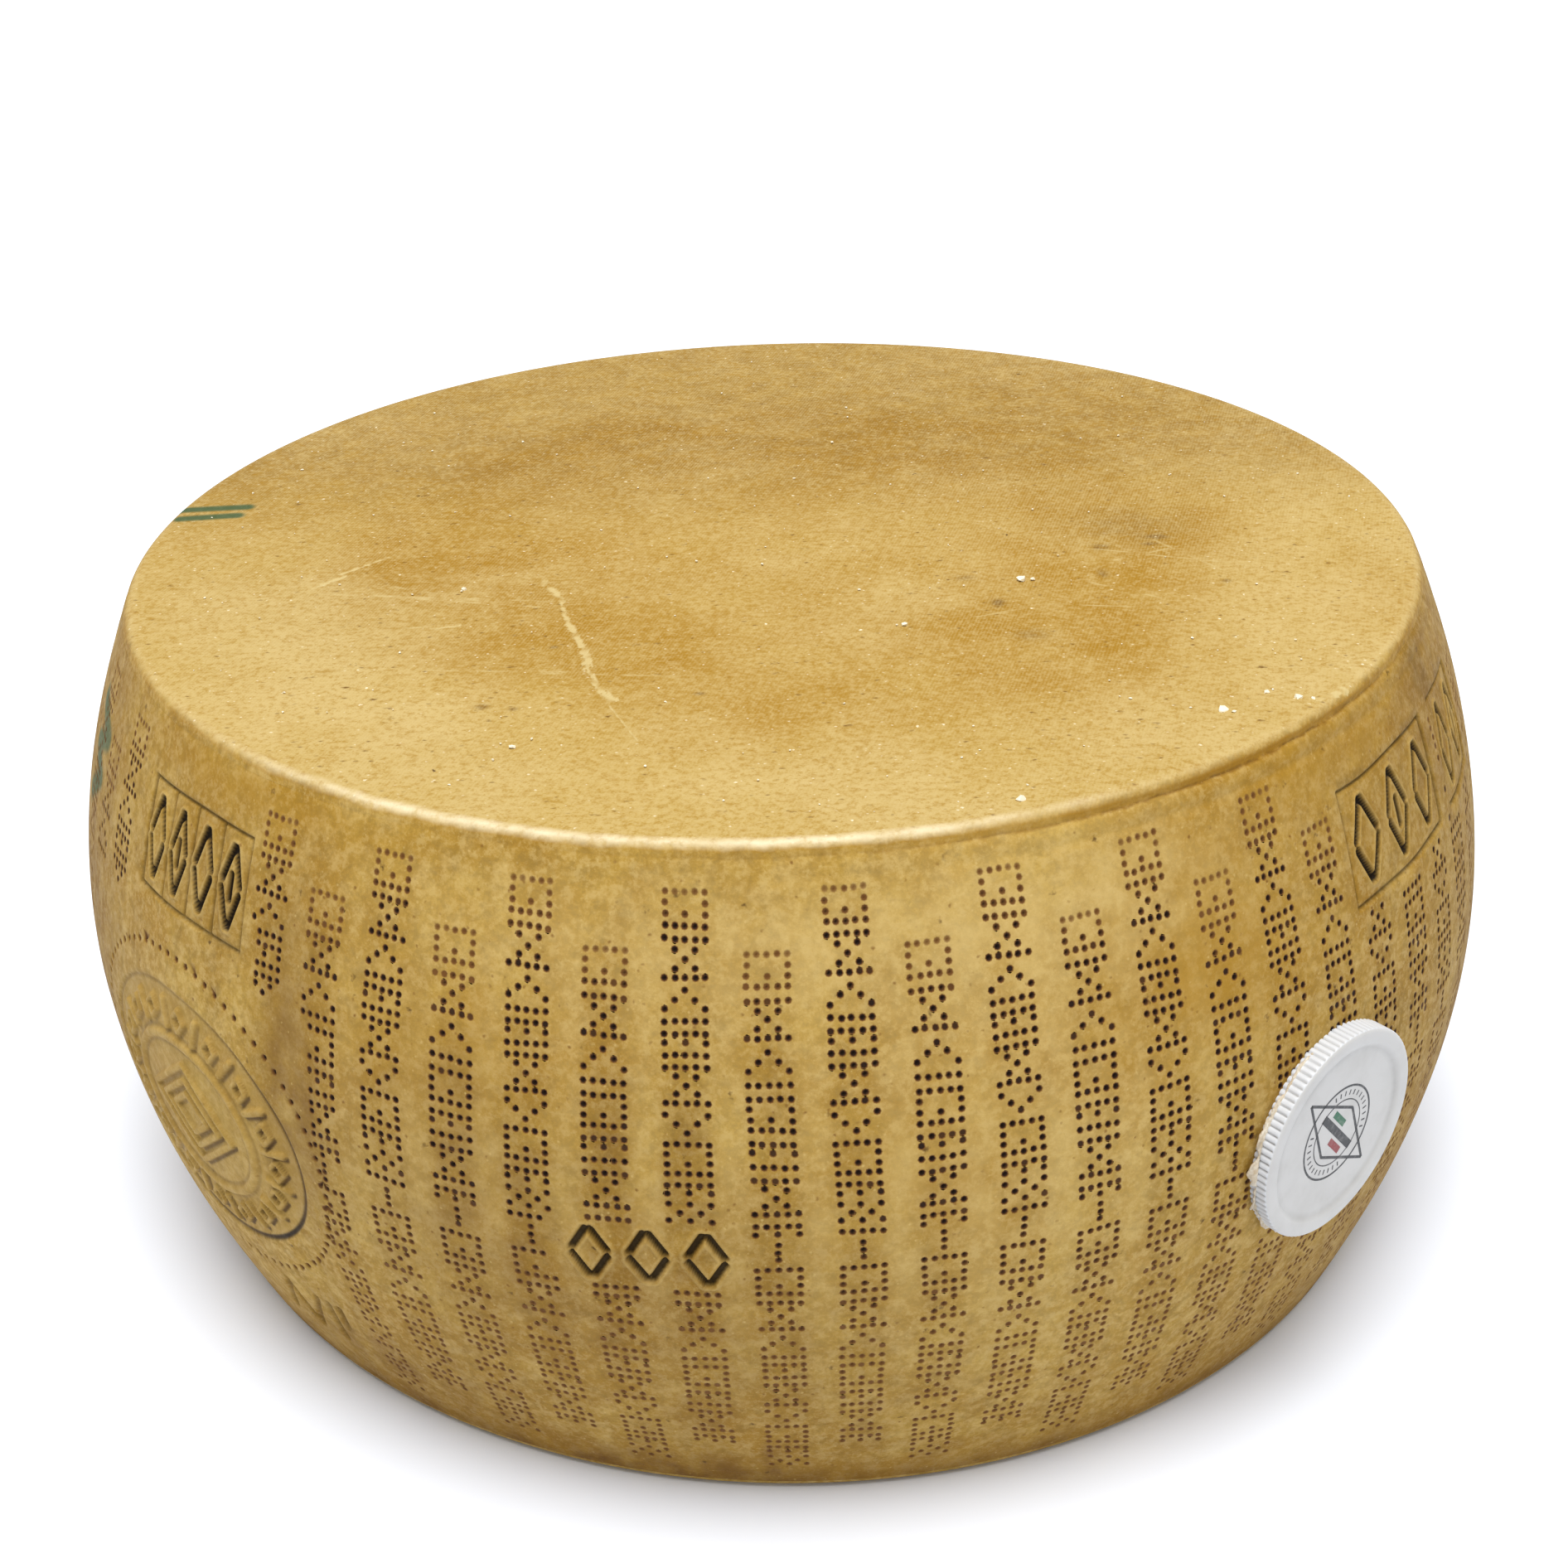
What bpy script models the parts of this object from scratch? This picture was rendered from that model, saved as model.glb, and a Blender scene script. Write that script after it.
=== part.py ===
"""A whole wheel of hard aged cheese with its embossed rind, and the ribbed cap stuck to its side.

Metres, +Z up. The origin is the middle of the flat face that the wheel lies on. The side with the
three stencilled lozenges faces -Y. A place on the side is given by its turn, in degrees from the
front towards +X, and by its rise, in metres along the rind from the lower edge.
"""

import math
import random

import bmesh
import bpy
from mathutils import Matrix, Vector

# The turned shape of the wheel
WIDEST_RADIUS = 0.2320
FLAT_RADIUS = 0.2051
HEIGHT = 0.2161
BULGE_POWER = 1.874
STEPS_AROUND = 96
ROWS_UP = 13

# The wheel has settled: its upper face climbs towards +X and its belly leans
TOP_SLOPE = 0.0256
LEAN = 0.0032

# The worn edges, as distance along the rind from the edge and lift from the turned shape
EDGE_ROUND = 0.0030
RIM_STEPS = (
    (0.0030, 0.0),
    (0.0048, -0.0006),
    (0.0066, -0.0012),
    (0.0095, 0.0),
    (0.0125, -0.0004),
    (0.0160, 0.0),
)
FOOT_STEPS = ((0.0030, 0.0), (0.0080, 0.0))

# Stamped plates: turn, rise, width, height and the number of fields
PLATES = ((-48.6, 0.186, 0.058, 0.034, 4), (54.0, 0.184, 0.061, 0.034, 3), (68.6, 0.184, 0.034, 0.034, 2))
PLATE_DEPTH = 0.0008
SIGN_HEIGHT = 0.024
SIGN_WIDTH_SHARE = 0.64
INNER_BAR_SHARE = 0.36
SIGN_STROKE = 0.0022
STROKE_DEPTH = 0.0016

# Three stencilled lozenges at the front
STENCIL_TURNS = (-12.9, -9.0, -5.1)
STENCIL_RISE = 0.109
STENCIL_WIDTH = 0.0110
STENCIL_HEIGHT = 0.0175

# The oval seal
SEAL_TURN = -49.0
SEAL_RISE = 0.1025
SEAL_HALF_WIDTH = 0.053
SEAL_HALF_HEIGHT = 0.0405
SEAL_INNER_SHARE = 0.60
SEAL_BAND = 0.0026
SEAL_LIFT = 0.0009
SEAL_RAYS = 16
RAY_LENGTH = 0.0085
RAY_WIDTH = 0.0030
OVAL_STEPS = 56

# The ribbed cap, with the torn paper that sticks it to the rind
CAP_TURN = 42.0
CAP_RISE = 0.1052
CAP_RADIUS = 0.0330
CAP_FRONT = 0.0030
CAP_RIBS = 96
RIB_DEPTH = 0.0006
CAP_EDGE = 0.0009
CAP_RING_WIDTH = 0.0042
CAP_STEP = 0.0007
CAP_ROOT = -0.0060
PAPER_BOTTOM = 0.0003
PAPER_TOP = 0.0008
PAPER_GAP = 0.0003
PAPER_RADIUS = 0.0315
PAPER_FRINGE = 0.0040
PAPER_STEPS = 48

# How deep a cutter or a raised mark reaches past the rind
REACH = 0.0030
ROOT = -0.0015

RIND_COLOUR = (0.50, 0.33, 0.11, 1.0)
CAP_COLOUR = (0.80, 0.80, 0.78, 1.0)
PAPER_COLOUR = (0.62, 0.50, 0.32, 1.0)


def clear_scene():
    for obj in list(bpy.data.objects):
        bpy.data.objects.remove(obj, do_unlink=True)


def material(name, colour, roughness):
    made = bpy.data.materials.new(name)
    made.use_nodes = True
    shader = made.node_tree.nodes["Principled BSDF"]
    shader.inputs["Base Color"].default_value = colour
    shader.inputs["Roughness"].default_value = roughness
    shader.inputs["Metallic"].default_value = 0.0
    made.diffuse_color = colour
    return made


def side_radius(share):
    """The radius at a share of the height, 0 at the foot and 1 at the rim"""
    bulge = 1 - abs(2 * share - 1) ** BULGE_POWER
    return FLAT_RADIUS + (WIDEST_RADIUS - FLAT_RADIUS) * bulge


def measure_side(steps=600):
    """The length of the side's outline up to each of many shares of the height"""
    lengths = [0.0]
    for step in range(steps):
        low = step / steps
        high = (step + 1) / steps
        rise = (high - low) * HEIGHT
        lengths.append(lengths[-1] + math.hypot(side_radius(high) - side_radius(low), rise))
    return lengths


SIDE_LENGTHS = measure_side()
SIDE_LENGTH = SIDE_LENGTHS[-1]


def share_at(rise):
    """The share of the height that lies rise metres up along the rind"""
    last = len(SIDE_LENGTHS) - 1
    for step in range(last):
        if SIDE_LENGTHS[step + 1] >= rise:
            part = (rise - SIDE_LENGTHS[step]) / (SIDE_LENGTHS[step + 1] - SIDE_LENGTHS[step])
            return (step + part) / last
    return 1.0


def outline_point(rise, lift):
    """Radius and height of a point that stands lift metres off the turned outline"""
    share = share_at(rise)
    small = 0.001
    low = max(share - small, 0.0)
    high = min(share + small, 1.0)
    slope = (side_radius(high) - side_radius(low)) / ((high - low) * HEIGHT)
    length = math.hypot(1.0, slope)
    return side_radius(share) + lift / length, share * HEIGHT - lift * slope / length


def settle(point):
    """Slopes the upper face and leans the belly of the turned shape"""
    share = point.z / HEIGHT
    return Vector((point.x + LEAN * (1 - 2 * share), point.y, point.z + share * TOP_SLOPE * point.x))


def on_side(turn, rise, lift=0.0):
    radius, height = outline_point(rise, lift)
    angle = math.radians(turn)
    return settle(Vector((radius * math.sin(angle), -radius * math.cos(angle), height)))


def wrap(bm, turn, rise):
    """Lays a flat shape on the rind: x runs around, y runs up and z stands off"""
    for vert in bm.verts:
        here = rise + vert.co.y
        radius = side_radius(share_at(here))
        vert.co = on_side(turn + math.degrees(vert.co.x / radius), here, vert.co.z)


def to_object(bm, name, collection=None):
    bmesh.ops.recalc_face_normals(bm, faces=bm.faces)
    mesh = bpy.data.meshes.new(name)
    bm.to_mesh(mesh)
    bm.free()
    obj = bpy.data.objects.new(name, mesh)
    (collection or bpy.context.scene.collection).objects.link(obj)
    return obj


def thicken(bm, low, high):
    """Makes a flat sheet at z = 0 a closed slab from low to high"""
    for vert in bm.verts:
        vert.co.z = low
    walls = bmesh.ops.extrude_face_region(bm, geom=bm.faces[:])
    for item in walls["geom"]:
        if isinstance(item, bmesh.types.BMVert):
            item.co.z = high


def flat_panel(width, height, low, high, cell=0.008):
    bm = bmesh.new()
    across = max(1, round(width / cell))
    up = max(1, round(height / cell))
    bmesh.ops.create_grid(bm, x_segments=across, y_segments=up, size=0.5)
    bmesh.ops.scale(bm, vec=(width, height, 1), verts=bm.verts)
    thicken(bm, low, high)
    return bm


def flat_bar(start, end, width, low, high):
    """A straight stroke between two flat points"""
    run = Vector(end) - Vector(start)
    bm = flat_panel(run.length + width * 0.5, width, low, high)
    turn = Matrix.Rotation(math.atan2(run.y, run.x), 4, "Z")
    middle = (Vector(start) + Vector(end)) / 2
    bmesh.ops.transform(bm, matrix=Matrix.Translation(middle.to_3d()) @ turn, verts=bm.verts)
    return bm


def flat_oval_band(half_width, half_height, band, low, high):
    """The ring between an oval and the oval that lies band metres inside it"""
    bm = bmesh.new()
    for inset in (0.0, band):
        ring = bmesh.ops.create_circle(bm, segments=OVAL_STEPS, radius=1.0)["verts"]
        bmesh.ops.scale(bm, vec=(half_width - inset, half_height - inset, 1), verts=ring)
    bmesh.ops.bridge_loops(bm, edges=bm.edges[:])
    thicken(bm, low, high)
    return bm


def lozenge_strokes(width, height, gap):
    """The four sides of an upright lozenge, each shortened by gap at both ends"""
    right = Vector((width / 2, 0))
    top = Vector((0, height / 2))
    corners = [-top, right, top, -right]
    strokes = []
    for index, corner in enumerate(corners):
        following = corners[(index + 1) % 4]
        along = (following - corner).normalized() * gap
        strokes.append((corner + along, following - along))
    return strokes


def plate_strokes(width, height, field):
    """An open lozenge, with an upright bar inside it in every second field"""
    strokes = lozenge_strokes(width, height, SIGN_STROKE)
    if field % 2:
        bar = Vector((0, height * INNER_BAR_SHARE / 2))
        strokes.append((-bar, bar))
    return strokes


def plate_cutters(sunk):
    for number, (turn, rise, width, height, _) in enumerate(PLATES):
        bm = flat_panel(width, height, -PLATE_DEPTH, REACH)
        wrap(bm, turn, rise)
        to_object(bm, f"plate_{number}", sunk)


def plate_sign_cutters(sunk):
    for number, (turn, rise, width, _, fields) in enumerate(PLATES):
        pitch = width / fields
        for field in range(fields):
            middle = (field - (fields - 1) / 2) * pitch
            strokes = plate_strokes(pitch * SIGN_WIDTH_SHARE, SIGN_HEIGHT, field)
            for place, (start, end) in enumerate(strokes):
                shift = Vector((middle, 0))
                depth = PLATE_DEPTH + STROKE_DEPTH
                bm = flat_bar(start + shift, end + shift, SIGN_STROKE, -depth, REACH)
                wrap(bm, turn, rise)
                to_object(bm, f"sign_{number}_{field}_{place}", sunk)


def stencil_cutters(sunk):
    for number, turn in enumerate(STENCIL_TURNS):
        strokes = lozenge_strokes(STENCIL_WIDTH, STENCIL_HEIGHT, SIGN_STROKE)
        for place, (start, end) in enumerate(strokes):
            bm = flat_bar(start, end, SIGN_STROKE, -STROKE_DEPTH, REACH)
            wrap(bm, turn, STENCIL_RISE)
            to_object(bm, f"stencil_{number}_{place}", sunk)


def seal_relief(raised):
    """Two ovals with rays between them"""
    for number, size in enumerate((1.0, SEAL_INNER_SHARE)):
        bm = flat_oval_band(SEAL_HALF_WIDTH * size, SEAL_HALF_HEIGHT * size, SEAL_BAND, ROOT, SEAL_LIFT)
        wrap(bm, SEAL_TURN, SEAL_RISE)
        to_object(bm, f"seal_oval_{number}", raised)
    middle = (1 + SEAL_INNER_SHARE) / 2
    for ray in range(SEAL_RAYS):
        angle = 2 * math.pi * (ray + 0.5) / SEAL_RAYS
        place = Vector((SEAL_HALF_WIDTH * math.cos(angle), SEAL_HALF_HEIGHT * math.sin(angle))) * middle
        half = place.normalized() * RAY_LENGTH / 2
        bm = flat_bar(place - half, place + half, RAY_WIDTH, ROOT, SEAL_LIFT)
        wrap(bm, SEAL_TURN, SEAL_RISE)
        to_object(bm, f"seal_ray_{ray}", raised)


def wheel_outline():
    """Half of the turned section as (radius, height), from the foot's middle to the top's middle"""
    points = [(0.0, 0.0), (FLAT_RADIUS * 0.5, 0.0), (FLAT_RADIUS - EDGE_ROUND, 0.0)]
    points.append((FLAT_RADIUS - EDGE_ROUND * 0.25, EDGE_ROUND * 0.2))
    for rise, lift in FOOT_STEPS:
        points.append(outline_point(rise, lift))
    first = FOOT_STEPS[-1][0]
    last = SIDE_LENGTH - RIM_STEPS[-1][0]
    for row in range(1, ROWS_UP):
        points.append(outline_point(first + (last - first) * row / ROWS_UP, 0.0))
    for distance, lift in reversed(RIM_STEPS):
        points.append(outline_point(SIDE_LENGTH - distance, lift))
    points.append((FLAT_RADIUS - EDGE_ROUND * 0.25, HEIGHT - EDGE_ROUND * 0.2))
    points += [(FLAT_RADIUS - EDGE_ROUND, HEIGHT), (FLAT_RADIUS * 0.5, HEIGHT), (0.0, HEIGHT)]
    return points


def turned_wheel():
    bm = bmesh.new()
    verts = [bm.verts.new((radius, 0.0, height)) for radius, height in wheel_outline()]
    edges = [bm.edges.new(pair) for pair in zip(verts, verts[1:])]
    bmesh.ops.spin(
        bm,
        geom=verts + edges,
        cent=(0, 0, 0),
        axis=(0, 0, 1),
        angle=2 * math.pi,
        steps=STEPS_AROUND,
        use_merge=True,
    )
    bmesh.ops.remove_doubles(bm, verts=bm.verts, dist=0.00001)
    for vert in bm.verts:
        vert.co = settle(vert.co)
    return to_object(bm, "cheese_wheel")


def combine(obj, collection, operation):
    """Joins or cuts a whole collection, then removes its objects"""
    solver = obj.modifiers.new(operation.lower(), "BOOLEAN")
    solver.operand_type = "COLLECTION"
    solver.collection = collection
    solver.operation = operation
    solver.solver = "EXACT"
    graph = bpy.context.evaluated_depsgraph_get()
    mesh = bpy.data.meshes.new_from_object(obj.evaluated_get(graph))
    obj.modifiers.clear()
    obj.data = mesh
    for helper in list(collection.objects):
        bpy.data.objects.remove(helper, do_unlink=True)
    bpy.data.collections.remove(collection)


def helper_collection(name):
    made = bpy.data.collections.new(name)
    bpy.context.scene.collection.children.link(made)
    return made


def finish_smooth(obj, surface, angle):
    obj.data.materials.clear()
    obj.data.materials.append(surface)
    obj.data.shade_smooth()
    obj.data.set_sharp_from_angle(angle=math.radians(angle))


def cheese_wheel():
    wheel = turned_wheel()
    for make, operation in (
        (plate_cutters, "DIFFERENCE"),
        (plate_sign_cutters, "DIFFERENCE"),
        (stencil_cutters, "DIFFERENCE"),
        (seal_relief, "UNION"),
    ):
        helpers = helper_collection(make.__name__)
        make(helpers)
        combine(wheel, helpers, operation)
    finish_smooth(wheel, material("rind", RIND_COLOUR, 0.55), 30)
    return wheel


def cap_frame():
    """The place of the cap: x around, y up, z off the rind"""
    small = 0.0005
    middle = on_side(CAP_TURN, CAP_RISE)
    across = (on_side(CAP_TURN + 0.1, CAP_RISE) - on_side(CAP_TURN - 0.1, CAP_RISE)).normalized()
    up = (on_side(CAP_TURN, CAP_RISE + small) - on_side(CAP_TURN, CAP_RISE - small)).normalized()
    off = across.cross(up).normalized()
    up = off.cross(across)
    frame = Matrix((across, up, off)).transposed().to_4x4()
    frame.translation = middle
    return frame


def ribbed_disc():
    """The cap as moulded: a ribbed skirt, a rounded edge, a flat ring and a lower field"""
    bm = bmesh.new()
    around = bmesh.ops.create_circle(bm, segments=CAP_RIBS * 2, radius=CAP_RADIUS)["verts"]
    for index, vert in enumerate(around):
        if index % 2:
            vert.co *= (CAP_RADIUS - RIB_DEPTH) / CAP_RADIUS
        vert.co.z = CAP_ROOT
    bmesh.ops.contextual_create(bm, geom=bm.edges[:])
    edges = bm.edges[:]
    rings = (
        (CAP_RADIUS, CAP_FRONT - CAP_EDGE, True),
        (CAP_RADIUS - CAP_EDGE * 1.6, CAP_FRONT, False),
        (CAP_RADIUS - CAP_RING_WIDTH, CAP_FRONT, False),
        (CAP_RADIUS - CAP_RING_WIDTH - CAP_STEP * 2, CAP_FRONT - CAP_STEP, False),
    )
    for radius, height, ribbed in rings:
        grown = bmesh.ops.extrude_edge_only(bm, edges=edges)["geom"]
        edges = [item for item in grown if isinstance(item, bmesh.types.BMEdge)]
        for item in grown:
            if isinstance(item, bmesh.types.BMVert):
                if not ribbed:
                    item.co.xy = item.co.xy.normalized() * radius
                item.co.z = height
    bmesh.ops.contextual_create(bm, geom=edges)
    bmesh.ops.transform(bm, matrix=cap_frame(), verts=bm.verts)
    return to_object(bm, "side_cap")


def torn_radius(angle):
    """The paper's edge: hidden under the cap, apart from a ragged fringe on the cap's left"""
    left = max(0.0, -math.cos(angle)) ** 2
    return PAPER_RADIUS + PAPER_FRINGE * left * (0.75 + random.uniform(-0.35, 0.5))


def torn_paper():
    random.seed(7)
    bm = bmesh.new()
    around = bmesh.ops.create_circle(bm, segments=PAPER_STEPS, radius=1.0)["verts"]
    for vert in around:
        vert.co *= torn_radius(math.atan2(vert.co.y, vert.co.x))
    edges = bm.edges[:]
    for share in (0.66, 0.5):
        grown = bmesh.ops.extrude_edge_only(bm, edges=edges)["geom"]
        edges = [item for item in grown if isinstance(item, bmesh.types.BMEdge)]
        inner = [item for item in grown if isinstance(item, bmesh.types.BMVert)]
        bmesh.ops.scale(bm, vec=(share, share, 1), verts=inner)
    middle = bmesh.ops.contextual_create(bm, geom=edges)["faces"]
    bmesh.ops.poke(bm, faces=middle)
    bmesh.ops.recalc_face_normals(bm, faces=bm.faces)
    thicken(bm, PAPER_BOTTOM, PAPER_TOP)
    wrap(bm, CAP_TURN, CAP_RISE)
    paper = to_object(bm, "cap_paper")
    finish_smooth(paper, material("paper", PAPER_COLOUR, 0.9), 40)
    return paper


def side_cap():
    """The cap, hollowed at the back to sit on the paper all over"""
    cap = ribbed_disc()
    helpers = helper_collection("rind_under_cap")
    size = CAP_RADIUS * 2.4
    under = flat_panel(size, size, CAP_ROOT * 2, PAPER_TOP + PAPER_GAP, cell=0.007)
    wrap(under, CAP_TURN, CAP_RISE)
    to_object(under, "rind_under_cap", helpers)
    combine(cap, helpers, "DIFFERENCE")
    finish_smooth(cap, material("white_plastic", CAP_COLOUR, 0.4), 25)
    return cap


def main():
    clear_scene()
    made = (cheese_wheel(), torn_paper(), side_cap())
    for obj in made:
        print(obj.name, "has", sum(len(face.vertices) - 2 for face in obj.data.polygons), "triangles")


main()
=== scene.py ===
# %% [markdown]
# A whole wheel of hard aged cheese. The rind carries rows of pin dots, stamped plates, a pressed
# seal, three stencilled lozenges and a ribbed plastic cap. The solids give the wheel its size, and
# this lesson gives it its skin. It opens with the frame, because every later shape is laid on it.

import math
import random

import bmesh
import bpy
import numpy as np
from mathutils import Matrix, Vector


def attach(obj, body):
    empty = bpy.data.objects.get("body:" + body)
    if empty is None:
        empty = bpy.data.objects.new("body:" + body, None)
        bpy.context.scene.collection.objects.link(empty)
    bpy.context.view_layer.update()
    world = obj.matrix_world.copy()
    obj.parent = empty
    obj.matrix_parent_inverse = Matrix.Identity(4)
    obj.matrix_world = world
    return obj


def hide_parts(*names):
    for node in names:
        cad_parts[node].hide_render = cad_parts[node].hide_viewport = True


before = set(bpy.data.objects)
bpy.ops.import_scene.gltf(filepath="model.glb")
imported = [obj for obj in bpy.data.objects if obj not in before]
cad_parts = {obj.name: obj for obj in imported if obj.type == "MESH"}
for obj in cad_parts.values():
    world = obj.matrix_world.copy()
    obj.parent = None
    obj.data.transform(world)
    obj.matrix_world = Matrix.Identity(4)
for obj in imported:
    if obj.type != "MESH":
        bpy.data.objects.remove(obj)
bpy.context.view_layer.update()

# %% [markdown]
# The wheel is a turned shape that has settled: its sides belly out, its upper face climbs a little
# to the right and the belly leans. A turned shape could be drawn as a curve and spun, but the rind
# is easier to dress as a flat sheet that is wrapped round afterwards. So the shape is a formula: a
# turn round the axis, a rise along the rind from the lower edge, and a lift off the rind.

# %% The shape of the wheel
WIDEST_RADIUS = 0.2320
FLAT_RADIUS = 0.2051
HEIGHT = 0.2161
BULGE_POWER = 1.874
TOP_SLOPE = 0.0256
LEAN = 0.0032


def side_radius(share):
    bulge = 1 - np.abs(2 * share - 1) ** BULGE_POWER
    return FLAT_RADIUS + (WIDEST_RADIUS - FLAT_RADIUS) * bulge


SHARES = np.linspace(0, 1, 1201)
RADII = side_radius(SHARES)
RISES = np.concatenate([[0.0], np.cumsum(np.hypot(np.diff(RADII), np.diff(SHARES) * HEIGHT))])
SLOPES = np.gradient(RADII, SHARES * HEIGHT)
SIDE_LENGTH = float(RISES[-1])


def settle(x, y, z):
    share = z / HEIGHT
    return np.stack([x + LEAN * (1 - 2 * share), y, z + share * TOP_SLOPE * x], axis=-1)


def on_side(turn, rise, lift):
    """Points on the side; turn in radians from the front towards +X, rise and lift in metres"""
    share = np.interp(rise, RISES, SHARES)
    slope = np.interp(share, SHARES, SLOPES)
    length = np.sqrt(1 + slope**2)
    radius = side_radius(share) + lift / length
    return settle(radius * np.sin(turn), -radius * np.cos(turn), share * HEIGHT - lift * slope / length)


print(f"side {SIDE_LENGTH * 1000:.1f} mm long, flat faces {FLAT_RADIUS * 2000:.0f} mm across")

# %% [markdown]
# The camera looks down at the front from 29 degrees, as the photographer did. Its place is worked
# out from the distance and the angle, with the small tilt that puts the wheel in the frame. A long
# lens keeps the wheel from looking swollen.

# %% Camera
CAMERA_DISTANCE = 0.8232
CAMERA_HEIGHT_ANGLE = math.radians(28.92)
CAMERA_PITCH = 0.0168
CAMERA_ROLL = 0.0066
CAMERA_SHIFT = 0.0005
SENSOR = 36.0
FRAME_PIXELS = 1892
FOCAL_PIXELS = 2858


def show(data):
    """Puts a mesh, a camera or a lamp into the scene, under its own name"""
    piece = bpy.data.objects.new(data.name, data)
    bpy.context.scene.collection.objects.link(piece)
    return piece


def place_camera():
    data = bpy.data.cameras.new("camera")
    data.sensor_width = SENSOR
    data.lens = SENSOR * (FOCAL_PIXELS / FRAME_PIXELS)
    camera = show(data)
    right = Vector((1, 0, 0))
    forward = Vector((0, math.cos(CAMERA_HEIGHT_ANGLE), -math.sin(CAMERA_HEIGHT_ANGLE)))
    away = -CAMERA_DISTANCE * forward
    forward = Matrix.Rotation(CAMERA_PITCH, 3, right) @ forward
    right = Matrix.Rotation(CAMERA_ROLL, 3, forward) @ right
    pose = Matrix((right, right.cross(forward), -forward)).transposed().to_4x4()
    pose.translation = Vector((CAMERA_SHIFT, 0, HEIGHT / 2)) + away
    camera.matrix_world = pose
    bpy.context.scene.camera = camera
    return camera


print("camera lens", round(place_camera().data.lens, 2), "mm")

# %% [markdown]
# A plain pale floor and soft studio light. One wide sun lamp overhead, tilted a little to the front,
# gives the bright top, the light rim and the soft shade round the foot. A near lamp would leave a
# bright pool, where a sun lights the whole floor evenly. The pale surroundings fill the side.

# %% Stage and light
FLOOR_SIZE = 8.0
FLOOR_SQUARES = 8
FLOOR_COLOUR = (0.87, 0.91, 0.985, 1.0)
FLOOR_ROUGHNESS = 0.9
WHITE = (1, 1, 1, 1)
SKY_STRENGTH = 0.50
LAMP_TURN = math.radians(-6)
LAMP_TILT = math.radians(10)
LAMP_WIDTH = math.radians(40)
LAMP_STRENGTH = 3.25


def mesh_of(bm, name):
    mesh = bpy.data.meshes.new(name)
    bm.to_mesh(mesh)
    bm.free()
    return mesh


def new_material(name, roughness, gloss=0.5):
    made = bpy.data.materials.new(name)
    made.use_nodes = True
    shader = made.node_tree.nodes["Principled BSDF"]
    shader.inputs["Roughness"].default_value = roughness
    shader.inputs["Specular IOR Level"].default_value = gloss
    return made, made.node_tree, shader


def light_stage():
    bm = bmesh.new()
    bmesh.ops.create_grid(bm, x_segments=FLOOR_SQUARES, y_segments=FLOOR_SQUARES, size=FLOOR_SIZE / 2)
    floor = show(mesh_of(bm, "floor"))
    paint, _, shader = new_material("pale_floor", FLOOR_ROUGHNESS)
    shader.inputs["Base Color"].default_value = FLOOR_COLOUR
    floor.data.materials.append(paint)
    world = bpy.data.worlds.new("studio")
    world.use_nodes = True
    sky = world.node_tree.nodes["Background"]
    sky.inputs["Color"].default_value = WHITE
    sky.inputs["Strength"].default_value = SKY_STRENGTH
    bpy.context.scene.world = world
    data = bpy.data.lights.new("overhead", "SUN")
    data.angle = LAMP_WIDTH
    data.energy = LAMP_STRENGTH
    lamp = show(data)
    lamp.rotation_euler = (LAMP_TILT, 0, LAMP_TURN)
    bpy.context.scene.view_settings.view_transform = "Standard"


light_stage()
print("lamp tilt", round(math.degrees(LAMP_TILT)), "degrees, strength", LAMP_STRENGTH)

# %% [markdown]
# Materials are built from nodes. Small helpers keep the cells short: one adds a node and plugs in
# its inputs, one lays a colour over another through a mask, and others do arithmetic. Effects that
# several materials share, such as blotches and specks, become node groups, so each is built once.

# %% Node helpers
def add(tree, kind, inputs=None, **settings):
    made = tree.nodes.new(kind)
    for key, value in settings.items():
        setattr(made, key, value)
    for key, value in (inputs or {}).items():
        socket = made.inputs[key]
        if isinstance(value, bpy.types.NodeSocket):
            tree.links.new(value, socket)
        else:
            socket.default_value = value
    return made


def lay_over(tree, under, mask, colour):
    """A colour, or a socket with one, laid over another where the mask is 1"""
    return add(tree, "ShaderNodeMix", {0: mask, 6: under, 7: colour}, data_type="RGBA").outputs[2]


def calculate(tree, operation, inputs, clamp=False):
    sockets = dict(enumerate(inputs))
    return add(tree, "ShaderNodeMath", sockets, operation=operation, use_clamp=clamp).outputs[0]


def plus(tree, first, second, clamp=False):
    return calculate(tree, "ADD", (first, second), clamp)


def scaled(tree, value, amount):
    return calculate(tree, "MULTIPLY", (value, amount))


def times(tree, first, second):
    """Two masks multiplied, kept between 0 and 1"""
    return calculate(tree, "MULTIPLY", (first, second), clamp=True)


def remap(tree, value, low, high, to_low=0.0, to_high=1.0):
    sockets = {"Value": value, "From Min": low, "From Max": high, "To Min": to_low, "To Max": to_high}
    return add(tree, "ShaderNodeMapRange", sockets).outputs[0]


def painted(tree, name):
    """A mask that the mesh carries at its points"""
    settings = {"attribute_type": "GEOMETRY", "attribute_name": name}
    return add(tree, "ShaderNodeAttribute", **settings).outputs["Fac"]


def object_place(tree):
    return add(tree, "ShaderNodeTexCoord").outputs["Object"]


def stretched(tree, position, amounts):
    return add(tree, "ShaderNodeMapping", {"Vector": position, "Scale": amounts}).outputs[0]


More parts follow.
